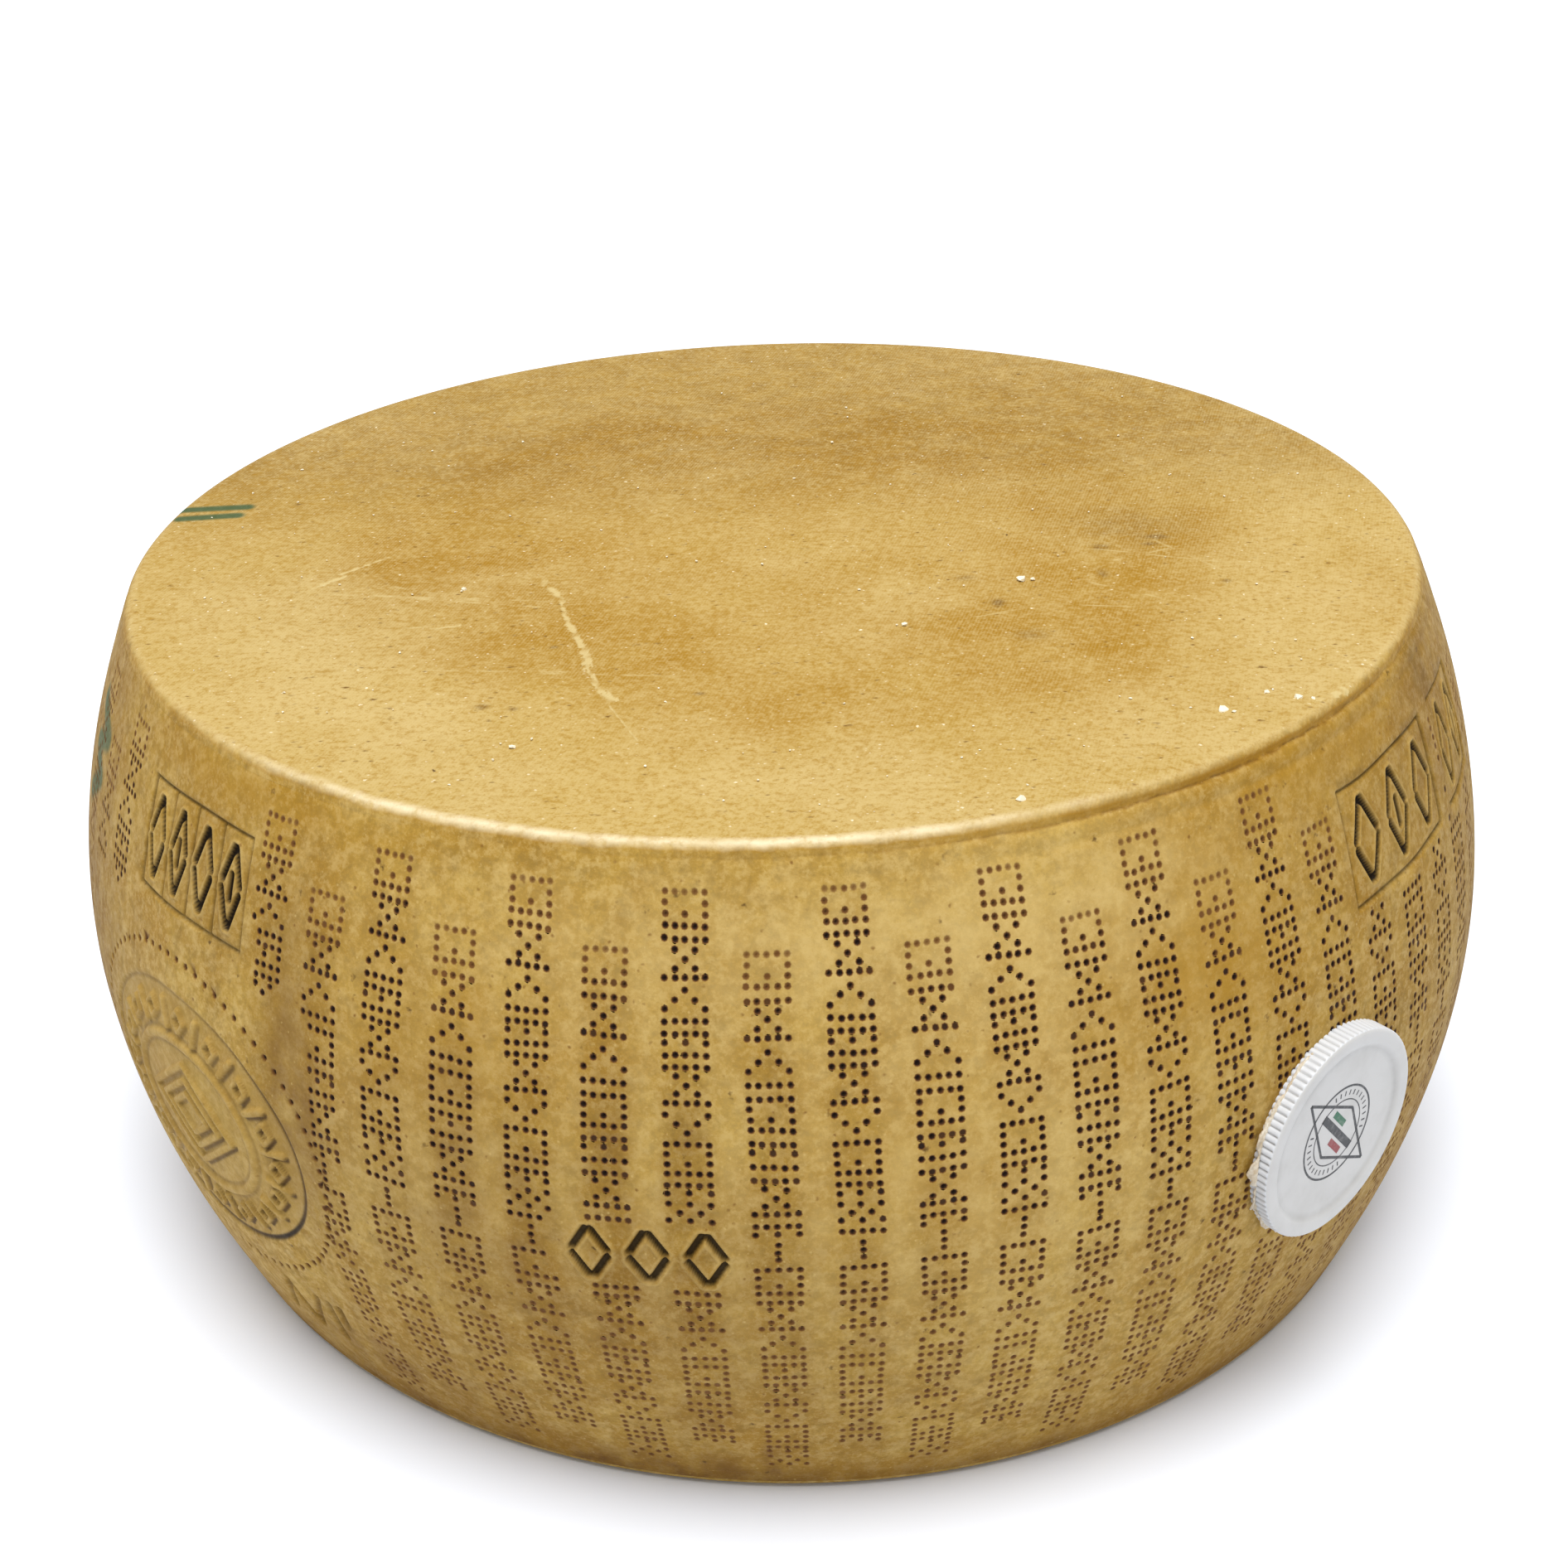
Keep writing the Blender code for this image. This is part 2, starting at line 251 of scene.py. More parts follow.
def new_group(name, inputs, outputs):
    """A node group; an input given as None is a place, and any other is a number with that value"""
    tree = bpy.data.node_groups.new(name, "ShaderNodeTree")
    for label, value in inputs.items():
        kind = "NodeSocketVector" if value is None else "NodeSocketFloat"
        socket = tree.interface.new_socket(label, in_out="INPUT", socket_type=kind)
        if value is not None:
            socket.default_value = value
    for label in outputs:
        kind = "NodeSocketColor" if label == "Color" else "NodeSocketFloat"
        tree.interface.new_socket(label, in_out="OUTPUT", socket_type=kind)
    return tree, tree.nodes.new("NodeGroupInput").outputs, tree.nodes.new("NodeGroupOutput").inputs


def use_group(tree, group, inputs):
    return add(tree, "ShaderNodeGroup", inputs, node_tree=group).outputs


print("helpers", [helper.__name__ for helper in (add, lay_over, calculate, remap, painted, new_group)])

# %% [markdown]
# Three effects are shared by the side, the top and the foot of the wheel. Blotches are soft patches
# where brine and mould have coloured the rind. Grain is the fine granular skin. Specks are the
# scattered dark flecks. A photograph could be wrapped on, but a pattern from noise has no seams.

# %% Shared rind effects
LUMP_SHARE = 0.38
RAGGED_SCALE = 900.0


def make_blotches():
    inputs = {"Vector": None, "Scale": 20.0, "Low": 0.4, "High": 0.6}
    tree, given, result = new_group("blotches", inputs, ["Mask"])
    wanted = {"Vector": given["Vector"], "Scale": given["Scale"], "Detail": 5.0, "Roughness": 0.62}
    noise = add(tree, "ShaderNodeTexNoise", wanted)
    tree.links.new(remap(tree, noise.outputs["Fac"], given["Low"], given["High"]), result["Mask"])
    return tree


def make_grain():
    tree, given, result = new_group("grain", {"Vector": None, "Scale": 700.0}, ["Light", "Dark", "Height"])
    fine = {"Vector": given["Vector"], "Scale": given["Scale"], "Detail": 4.0, "Roughness": 0.75}
    skin = add(tree, "ShaderNodeTexNoise", fine).outputs["Fac"]
    coarse = {"Vector": given["Vector"], "Scale": scaled(tree, given["Scale"], LUMP_SHARE)}
    lumps = add(tree, "ShaderNodeTexNoise", {**coarse, "Detail": 2.0, "Roughness": 0.5}).outputs["Fac"]
    average = scaled(tree, plus(tree, skin, lumps), 0.5)
    tree.links.new(remap(tree, average, 0.49, 0.60), result["Light"])
    tree.links.new(remap(tree, average, 0.49, 0.39), result["Dark"])
    tree.links.new(average, result["Height"])
    return tree


def make_specks():
    tree, given, result = new_group("specks", {"Vector": None, "Scale": 160.0, "Size": 0.12}, ["Mask"])
    wanted = {"Vector": given["Vector"], "Scale": given["Scale"], "Randomness": 1.0}
    cells = add(tree, "ShaderNodeTexVoronoi", wanted)
    noise = {"Vector": given["Vector"], "Scale": RAGGED_SCALE, "Detail": 1.0}
    ragged = add(tree, "ShaderNodeTexNoise", noise).outputs["Fac"]
    near = plus(tree, cells.outputs["Distance"], remap(tree, ragged, 0.3, 0.7, -0.06, 0.10))
    spot = remap(tree, near, given["Size"], 0.0)
    few = remap(tree, cells.outputs["Color"], 0.62, 0.66)
    tree.links.new(times(tree, spot, few), result["Mask"])
    return tree


BLOTCHES = make_blotches()
GRAIN = make_grain()
SPECKS = make_specks()
print("groups", [group.name for group in (BLOTCHES, GRAIN, SPECKS)])

# %% [markdown]
# The rind's side is olive-gold with lighter and darker clouds, and its skin is mottled with cream and
# brown. These tones are a group, because the rounded rim of the flat face wears them too. Thin lines
# run along the rim: a bright worn edge with a painted highlight, strongest at the front, and a brown
# groove under it. The mesh carries the distance below the rim, so the lines stay as thin as they are
# on the real rind.

# %% Tones of the side and lines of the rim
SIDE_GOLD = (0.362, 0.200, 0.024, 1.0)
SIDE_PALE = (0.470, 0.295, 0.055, 1.0)
SIDE_CREAM = (0.610, 0.435, 0.160, 1.0)
SIDE_DEEP = (0.240, 0.122, 0.010, 1.0)
OCHRE = (0.365, 0.183, 0.006, 1.0)
RIM_OCHRE = (0.345, 0.170, 0.012, 1.0)
BROWN = (0.155, 0.068, 0.007, 1.0)
CREAM = (0.90, 0.80, 0.56, 1.0)
OLIVE = (0.200, 0.130, 0.032, 1.0)
RIND_GLOSS = 0.14
UPRIGHT = (1.0, 1.0, 0.22)
# Each line along the rim is (millimetres below the rim, half of its width)
BRIGHT_EDGE = (-0.5, 2.8)
INNER_BAND = (1.9, 0.9)
OCHRE_BAND = (2.9, 1.4)
GROOVE_BAND = (3.9, 0.7)


def blotch_mask(tree, position, scale, low, high):
    given = {"Vector": position, "Scale": scale, "Low": low, "High": high}
    return use_group(tree, BLOTCHES, given)["Mask"]


def blotched(tree, colour, position, scale, low, high, share, paint):
    """A colour with blotches of another laid over it"""
    mask = blotch_mask(tree, position, scale, low, high)
    return lay_over(tree, colour, scaled(tree, mask, share), paint)


def make_side_tones():
    tree, given, result = new_group("side_tones", {"Vector": None}, ["Color", "Height"])
    position = given["Vector"]
    upright = stretched(tree, position, UPRIGHT)
    colour = blotched(tree, SIDE_GOLD, position, 26.0, 0.36, 0.64, 1.0, SIDE_PALE)
    colour = blotched(tree, colour, position, 95.0, 0.44, 0.66, 0.36, SIDE_DEEP)
    colour = blotched(tree, colour, position, 47.0, 0.50, 0.70, 0.45, OCHRE)
    colour = blotched(tree, colour, upright, 70.0, 0.50, 0.74, 0.26, BROWN)
    colour = blotched(tree, colour, position, 165.0, 0.47, 0.63, 0.34, SIDE_CREAM)
    colour = blotched(tree, colour, position, 205.0, 0.51, 0.65, 0.28, OLIVE)
    grain = use_group(tree, GRAIN, {"Vector": position, "Scale": 950.0})
    colour = lay_over(tree, colour, scaled(tree, grain["Light"], 0.42), SIDE_CREAM)
    colour = lay_over(tree, colour, scaled(tree, grain["Dark"], 0.34), OLIVE)
    tree.links.new(colour, result["Color"])
    tree.links.new(grain["Height"], result["Height"])
    return tree


def band_mask(tree, value, middle, half):
    """1 at the middle of a band and 0 at its borders"""
    away = calculate(tree, "ABSOLUTE", (calculate(tree, "SUBTRACT", (value, middle)),))
    return remap(tree, away, half, 0.0)


def make_rim_lines():
    """Thin lines along the rim; Below runs from 0, 5 mm inside the rim, to 1, 15 mm below it"""
    inputs = {"Vector": None, "Below": 0.0, "Groove": 0.0, "Wear_and_highlight": 0.0}
    tree, given, result = new_group("rim_lines", inputs, ["Bright", "Line", "Ochre"])
    position, groove = given["Vector"], given["Groove"]
    noise = add(tree, "ShaderNodeTexNoise", {"Vector": position, "Scale": 130.0, "Detail": 4.0})
    wander = remap(tree, noise.outputs["Fac"], 0.3, 0.7, -0.45, 0.45)
    place = plus(tree, remap(tree, given["Below"], 0.0, 1.0, -5.0, 15.0), wander)
    ragged = blotch_mask(tree, position, 300.0, 0.34, 0.50)
    worn = blotch_mask(tree, position, 75.0, 0.36, 0.60)
    # The bright edge is worn rind with a painted highlight, strongest at the front.
    edge = remap(tree, band_mask(tree, place, *BRIGHT_EDGE), 0.0, 0.9)
    edge = times(tree, edge, remap(tree, worn, 0.0, 1.0, 0.62, 1.0))
    bright = times(tree, times(tree, edge, given["Wear_and_highlight"]), remap(tree, ragged, 0.0, 1.0, 0.55, 1.0))
    line = scaled(tree, times(tree, band_mask(tree, place, *GROOVE_BAND), groove), 0.75)
    line = times(tree, line, remap(tree, ragged, 0.0, 1.0, 0.2, 1.0))
    ochre = times(tree, remap(tree, band_mask(tree, place, *OCHRE_BAND), 0.0, 0.7), groove)
    ochre = times(tree, ochre, remap(tree, worn, 0.0, 1.0, 0.60, 0.90))
    band = times(tree, band_mask(tree, place, *INNER_BAND), remap(tree, worn, 0.0, 1.0, 0.14, 0.34))
    masks = {"Bright": bright, "Line": line, "Ochre": plus(tree, ochre, band, clamp=True)}
    for label, mask in masks.items():
        tree.links.new(mask, result[label])
    return tree


SIDE_TONES = make_side_tones()
RIM_LINES = make_rim_lines()


def line_rim(tree, colour, position):
    masks = {label: painted(tree, label.lower()) for label in ("Below", "Groove", "Wear_and_highlight")}
    lines = use_group(tree, RIM_LINES, {"Vector": position, **masks})
    colour = lay_over(tree, colour, lines["Ochre"], RIM_OCHRE)
    colour = lay_over(tree, colour, lines["Line"], BROWN)
    # The bright edge: worn rind with a painted highlight.
    return lay_over(tree, colour, scaled(tree, lines["Bright"], 0.9), CREAM)


print("groups", SIDE_TONES.name, RIM_LINES.name)

# %% [markdown]
# On the side lie brown runs down the columns of dots, stains and marks, and painted shade lies in the
# creases, in the trough beside the seal and towards the foot, with a painted highlight on the lips of
# the strokes. Pins, pressed lines, stains and painted light are masks that the mesh carries, so the
# colour sits exactly in the relief. Noise breaks up the edge of every stain. A pin is a dark core in a
# soft rusty ring, as on a brined rind.

# %% Material of the side
SPECK_BROWN = (0.070, 0.030, 0.007, 1.0)
RUST = (0.17, 0.068, 0.010, 1.0)
CREASE_SHADE_BROWN = (0.085, 0.042, 0.010, 1.0)
SEAL_TAN = (0.400, 0.255, 0.070, 1.0)
PRESSED_BROWN = (0.017, 0.010, 0.004, 1.0)
PIN_HALO = (0.150, 0.062, 0.014, 1.0)
PIN_CORE = (0.020, 0.008, 0.003, 1.0)
MARKER_GREEN = (0.022, 0.085, 0.040, 1.0)
WIDENED = (1.1, 1.0, 1.0)
SKIN_STRENGTH = 0.8
SKIN_HEIGHT = 0.00035


def stain_and_painted_light(tree, colour, position, name, scale, paint):
    """A carried mask of stains and painted light, broken up by noise"""
    uneven = remap(tree, blotch_mask(tree, position, scale, 0.30, 0.62), 0.0, 1.0, 0.35, 1.0)
    return lay_over(tree, colour, times(tree, painted(tree, name), uneven), paint)


def specked(tree, colour, position, scale, size, share, paint):
    mask = use_group(tree, SPECKS, {"Vector": position, "Scale": scale, "Size": size})["Mask"]
    return lay_over(tree, colour, scaled(tree, mask, share), paint)


def grow_skin(tree, shader, strength, heights):
    """Adds the heights up, in metres, into one bump"""
    total = heights[0]
    for height in heights[1:]:
        total = plus(tree, total, height)
    bump = add(tree, "ShaderNodeBump", {"Height": total, "Strength": strength, "Distance": 1.0})
    tree.links.new(bump.outputs[0], shader.inputs["Normal"])


def make_side_material():
    made, tree, shader = new_material("rind_side", 0.5, RIND_GLOSS)
    position = object_place(tree)
    widened = stretched(tree, position, WIDENED)
    tones = use_group(tree, SIDE_TONES, {"Vector": position})
    colour = stain_and_painted_light(tree, tones["Color"], position, "ochre", 60.0, OCHRE)
    # The brown mask holds stains and painted shade; the pale mask holds stains and a painted highlight.
    colour = stain_and_painted_light(tree, colour, position, "brown", 90.0, BROWN)
    colour = stain_and_painted_light(tree, colour, position, "pale", 80.0, SIDE_CREAM)
    colour = line_rim(tree, colour, position)
    colour = specked(tree, colour, position, 120.0, 0.14, 0.8, SPECK_BROWN)
    colour = specked(tree, colour, position, 300.0, 0.20, 0.8, RUST)
    colour = specked(tree, colour, widened, 420.0, 0.22, 0.6, SIDE_CREAM)
    colour = lay_over(tree, colour, scaled(tree, painted(tree, "sealed"), 0.42), SEAL_TAN)
    # Painted shade in the creases, marker ink, and pressed marks with the seal's black painted shade.
    for name, paint in (("shaded_crease", CREASE_SHADE_BROWN), ("marker", MARKER_GREEN), ("pressed", PRESSED_BROWN)):
        colour = lay_over(tree, colour, painted(tree, name), paint)
    pin = painted(tree, "pin")
    colour = lay_over(tree, colour, remap(tree, pin, 0.0, 0.42), PIN_HALO)
    colour = lay_over(tree, colour, remap(tree, pin, 0.50, 0.80), PIN_CORE)
    tree.links.new(colour, shader.inputs["Base Color"])
    tree.links.new(remap(tree, tones["Height"], 0.4, 0.6, 0.75, 0.60), shader.inputs["Roughness"])
    grow_skin(tree, shader, SKIN_STRENGTH, [scaled(tree, tones["Height"], SKIN_HEIGHT)])
    return made


SIDE_MATERIAL = make_side_material()
print("material", SIDE_MATERIAL.name, len(SIDE_MATERIAL.node_tree.nodes), "nodes")

# %% [markdown]
# The flat faces were pressed against cloth while the cheese drained, so they keep the print of its
# weave. The weave is two crossed sets of fine waves, slightly warped as cloth is, and it shows more
# in some places than in others. Bump and a paler tint on the threads are enough for it, because the
# print is only a tenth of a millimetre deep.

# %% Material of the flat faces
TOP_TAN = (0.475, 0.318, 0.083, 1.0)
TOP_LIGHT = (0.580, 0.430, 0.175, 1.0)
TOP_GOLD = (0.410, 0.245, 0.034, 1.0)
TOP_OCHRE = (0.330, 0.163, 0.003, 1.0)
TOP_BROWN = (0.150, 0.066, 0.006, 1.0)
TORN_CREAM = (0.60, 0.47, 0.21, 1.0)
THREADS = 310.0
WEAVE_HEIGHT = 0.00012
WEAVE_TURN = (0, 0, math.radians(15.5))
FIBRE_TURN = (0, 0, math.radians(4))
FIBRE_STRETCH = (0.75, 1.2, 1.0)
DEEPENED = (1.0, 1.1, 1.0)


def make_weave():
    tree, given, result = new_group("cloth_print", {"Vector": None, "Threads": THREADS}, ["Height"])
    waves = []
    for direction, share in (("X", 0.65), ("Y", 0.35)):
        wanted = {"Vector": given["Vector"], "Scale": given["Threads"], "Distortion": 0.7}
        wanted.update({"Detail": 1.0, "Detail Scale": 0.06})
        wave = add(tree, "ShaderNodeTexWave", wanted, bands_direction=direction, wave_profile="SIN")
        waves.append(scaled(tree, wave.outputs["Fac"], share))
    tree.links.new(plus(tree, *waves), result["Height"])
    return tree


WEAVE = make_weave()


def turned(tree, position, turn, amounts=(1.0, 1.0, 1.0)):
    wanted = {"Vector": position, "Rotation": turn, "Scale": amounts}
    return add(tree, "ShaderNodeMapping", wanted).outputs[0]


def make_face_material():
    made, tree, shader = new_material("rind_face", 0.5, RIND_GLOSS)
    position = object_place(tree)
    colour = blotched(tree, TOP_TAN, position, 15.0, 0.36, 0.64, 0.7, TOP_LIGHT)
    colour = blotched(tree, colour, position, 55.0, 0.46, 0.70, 0.50, TOP_GOLD)
    colour = stain_and_painted_light(tree, colour, position, "pale", 60.0, TOP_LIGHT)
    # Ochre and brown also carry the painted shade towards the back.
    colour = stain_and_painted_light(tree, colour, position, "ochre", 45.0, TOP_OCHRE)
    colour = stain_and_painted_light(tree, colour, position, "brown", 110.0, TOP_BROWN)
    weave = {"Vector": turned(tree, position, WEAVE_TURN), "Threads": THREADS}
    weave = use_group(tree, WEAVE, weave)["Height"]
    cloth = blotch_mask(tree, position, 12.0, 0.35, 0.62)
    printed = times(tree, weave, remap(tree, cloth, 0.0, 1.0, 0.30, 1.0))
    colour = lay_over(tree, colour, scaled(tree, printed, 0.44), TOP_LIGHT)
    fibres = turned(tree, position, FIBRE_TURN, FIBRE_STRETCH)
    colour = blotched(tree, colour, fibres, 300.0, 0.53, 0.66, 0.36, TOP_OCHRE)
    grain = use_group(tree, GRAIN, {"Vector": position, "Scale": 1500.0})
    colour = lay_over(tree, colour, scaled(tree, grain["Light"], 0.42), TOP_LIGHT)
    colour = lay_over(tree, colour, scaled(tree, grain["Dark"], 0.46), TOP_OCHRE)
    colour = specked(tree, colour, fibres, 62.0, 0.050, 1.0, SPECK_BROWN)
    colour = specked(tree, colour, fibres, 120.0, 0.15, 0.9, TOP_BROWN)
    colour = specked(tree, colour, fibres, 280.0, 0.22, 0.9, TOP_BROWN)
    colour = specked(tree, colour, stretched(tree, position, WIDENED), 170.0, 0.10, 0.9, CREAM)
    colour = specked(tree, colour, stretched(tree, position, DEEPENED), 400.0, 0.20, 0.7, CREAM)
    side = use_group(tree, SIDE_TONES, {"Vector": position})["Color"]
    side = stain_and_painted_light(tree, side, position, "side_pale", 80.0, SIDE_CREAM)
    colour = lay_over(tree, colour, painted(tree, "turned_down"), side)
    colour = line_rim(tree, colour, position)
    colour = lay_over(tree, colour, painted(tree, "torn"), TORN_CREAM)
    colour = lay_over(tree, colour, painted(tree, "marker"), MARKER_GREEN)
    tree.links.new(colour, shader.inputs["Base Color"])
    tree.links.new(remap(tree, grain["Height"], 0.4, 0.6, 0.75, 0.60), shader.inputs["Roughness"])
    heights = [scaled(tree, grain["Height"], SKIN_HEIGHT), scaled(tree, printed, WEAVE_HEIGHT)]
    grow_skin(tree, shader, SKIN_STRENGTH, heights)
    return made


FACE_MATERIAL = make_face_material()
print("material", FACE_MATERIAL.name, len(FACE_MATERIAL.node_tree.nodes), "nodes")

# %% [markdown]
# Marks pressed into the rind are drawn as strokes on the flat sheet. The distance of every point
# to the nearest stroke gives both the groove and its dark line. The marks are plain lozenges and
# bars, which say nothing and keep the rind as busy as a stamped one. Stains are soft ovals.

# %% Strokes and stains as functions of place
def smooth_step(value):
    value = np.clip(value, 0.0, 1.0)
    return value * value * (3 - 2 * value)


def stroke_distance(x, y, strokes):
    nearest = np.full(x.shape, 1.0)
    for (x1, y1), (x2, y2) in strokes:
        dx, dy = x2 - x1, y2 - y1
        along = np.clip(((x - x1) * dx + (y - y1) * dy) / (dx * dx + dy * dy), 0, 1)
        nearest = np.minimum(nearest, np.hypot(x - x1 - along * dx, y - y1 - along * dy))
    return nearest


def oval_distance(x, y, half_width, half_height):
    ratio = np.hypot(x / half_width, y / half_height) + 1e-9
    return np.hypot(x, y) * np.abs(1 - 1 / ratio)


def blob(x, y, middle_x, middle_y, half_width, half_height):
    reach = ((x - middle_x) / half_width) ** 2 + ((y - middle_y) / half_height) ** 2
    return np.exp(-reach)


def patches(x, y, table):
    """Soft ovals added up; a row is (strength, middle x, middle y, half width, half height)"""
    return sum(strength * blob(x, y, *oval) for strength, *oval in table)


def ripple(x, y, seed, size, count=7):
    """Slow bumps between -1 and 1, made of a few sine waves with random directions"""
    draw = random.Random(seed)
    total = np.zeros_like(x)
    for _ in range(count):
        heading = draw.uniform(0, 2 * math.pi)
        length = size * draw.uniform(0.6, 1.8)
        phase = draw.uniform(0, 2 * math.pi)
        total += np.sin(2 * math.pi * (x * math.cos(heading) + y * math.sin(heading)) / length + phase)
    return total / count


def lozenge(middle_x, middle_y, width, height, gap):
    wide, high = width / 2, height / 2
    corners = [Vector(corner) for corner in ((0, -high), (wide, 0), (0, high), (-wide, 0))]
    shift = Vector((middle_x, middle_y))
    strokes = []
    for corner, following in zip(corners, corners[1:] + corners[:1]):
        along = (following - corner).normalized() * gap
        strokes.append(((corner + along + shift)[:], (following - along + shift)[:]))
    return strokes


def rectangle(middle_x, middle_y, width, height):
    left, right = middle_x - width / 2, middle_x + width / 2
    low, high = middle_y - height / 2, middle_y + height / 2
    corners = [(left, low), (right, low), (right, high), (left, high)]
    return list(zip(corners, corners[1:] + corners[:1]))


print("a lozenge has", len(lozenge(0, 0, 1, 1, 0.1)), "strokes")

# %% [markdown]
# The places of the marks come from the photograph, measured on the rind. The stamped plates sit
# under the rim, the seal on the left, the stencilled lozenges low on the front, and the cap on the
# right. The solids hold the same marks at the same places.

# %% Places of the marks
# Each plate is (turn in degrees, rise, width, height, number of signs)
PLATES = (
    (-48.6, 0.186, 0.058, 0.034, 4),
    (54.0, 0.184, 0.061, 0.034, 3),
    (68.6, 0.184, 0.034, 0.034, 2),
)
PLATE_DEPTH = 0.0008
SIGN_HEIGHT = 0.0265
SIGN_WIDTH_SHARE = 0.66
INNER_BAR_SHARE = 0.28
SIGN_STROKE = 0.0019
STROKE_DEPTH = 0.0017
LIP_HEIGHT = 0.0005
STENCIL_TURNS = (-12.9, -9.0, -5.1)
STENCIL_RISE = 0.109
STENCIL_WIDTH = 0.0110
STENCIL_HEIGHT = 0.0175
SEAL_TURN = -49.0
SEAL_RISE = 0.1025
SEAL_HALF_WIDTH = 0.053
SEAL_HALF_HEIGHT = 0.0405
SEAL_INNER_SHARE = 0.60
SEAL_RAYS = 16
RAY_LENGTH = 0.0085
SEAL_SIGN_WIDTH = 0.0060
SEAL_SIGN_HEIGHT = 0.0074
SHEAF_SIZES = (0.36, 0.62, 0.90)
SHEAF_WIDTH_SHARE = 1.55
SHEAF_HEIGHT_SHARE = 1.6
DOT_OVAL = (0.0625, 0.0525)
DOT_OVAL_COUNT = 76
FOOT_MARK_TURN = -41.0
FOOT_MARK_RISE = 0.037
FOOT_MARK_WIDTH = 0.032
FOOT_MARK_HEIGHT = 0.018
ZIGZAG_STEP = 0.007
FOOT_BARS = ((0.026, 0.0), (0.031, 0.009))
CAP_TURN = 42.0
CAP_RISE = 0.1052
CAP_RADIUS = 0.0330


def across(turn):
    """Degrees of turn as a length on the flat sheet"""
    return math.radians(turn) * WIDEST_RADIUS


def field_middles(plate, fields):
    """The middles of a plate's fields, on the flat sheet"""
    pitch = plate[2] / fields
    return [across(plate[0]) + (field - (fields - 1) / 2) * pitch for field in range(fields)]


def plate_strokes(plate):
    _, rise, width, _, fields = plate
    strokes = []
    for field, middle in enumerate(field_middles(plate, fields)):
        sign_width = width / fields * SIGN_WIDTH_SHARE
        strokes += lozenge(middle, rise, sign_width, SIGN_HEIGHT, SIGN_STROKE * 0.8)
        if field % 2:
            half = SIGN_HEIGHT * INNER_BAR_SHARE / 2
            strokes.append(((middle, rise - half), (middle, rise + half)))
    return strokes


def plate_frames(plate):
    """The frames: each sign of the left plate has its own, and the right plates have one each"""
    turn, rise, width, height, fields = plate
    fields = fields if turn < 0 else 1
    frames = []
    for middle in field_middles(plate, fields):
        frames += rectangle(middle, rise, width / fields, height)
    return frames


def stencil_strokes():
    strokes = []
    for turn in STENCIL_TURNS:
        middle, gap = across(turn), SIGN_STROKE * 0.75
        strokes += lozenge(middle, STENCIL_RISE, STENCIL_WIDTH, STENCIL_HEIGHT, gap)
    return strokes


def seal_strokes():
    """Rays between the two ovals, with small lozenges between the rays"""
    rays, signs = [], []
    middle = (1 + SEAL_INNER_SHARE) / 2
    for ray in range(SEAL_RAYS * 2):
        angle = 2 * math.pi * (ray / 2 + 0.5) / SEAL_RAYS
        place = Vector((SEAL_HALF_WIDTH * math.cos(angle), SEAL_HALF_HEIGHT * math.sin(angle))) * middle
        middle_x, middle_y = across(SEAL_TURN) + place.x, SEAL_RISE + place.y
        if ray % 2:
            signs += lozenge(middle_x, middle_y, SEAL_SIGN_WIDTH, SEAL_SIGN_HEIGHT, 0.0)
        else:
            half = place.normalized() * RAY_LENGTH / 2
            rays.append(((middle_x - half.x, middle_y - half.y), (middle_x + half.x, middle_y + half.y)))
    return rays, signs


def seal_centre_strokes():
    """A sheaf of three nested lozenges in the middle of the seal"""
    strokes = []
    for size in SHEAF_SIZES:
        width = SEAL_HALF_WIDTH * SEAL_INNER_SHARE * SHEAF_WIDTH_SHARE * size
        height = SEAL_HALF_HEIGHT * SEAL_INNER_SHARE * SHEAF_HEIGHT_SHARE * size
        strokes += lozenge(across(SEAL_TURN), SEAL_RISE, width, height, 0.0)
    return strokes


def foot_mark_strokes():
    """A mark pressed in low on the left: a zigzag and two bars"""
    left = across(FOOT_MARK_TURN) - FOOT_MARK_WIDTH / 2
    low = FOOT_MARK_RISE - FOOT_MARK_HEIGHT / 2
    high = low + FOOT_MARK_HEIGHT
    points = [(left + ZIGZAG_STEP * step, high if step % 2 else low) for step in range(4)]
    bars = [((left + away, low + start), (left + away, high)) for away, start in FOOT_BARS]
    return list(zip(points, points[1:])) + bars


print("seal strokes", [len(strokes) for strokes in seal_strokes()])

# %% [markdown]
# The pins of the mould leave the dots: five dots across, a gap of three, and so on round the wheel,
# in columns that start higher and lower by turns. The columns carry small woven motifs, bars,
# lozenges and crosses, set close. Each motif says how far its rows lie apart, and the gaps between
# motifs stretch a little, so that every column comes out full.

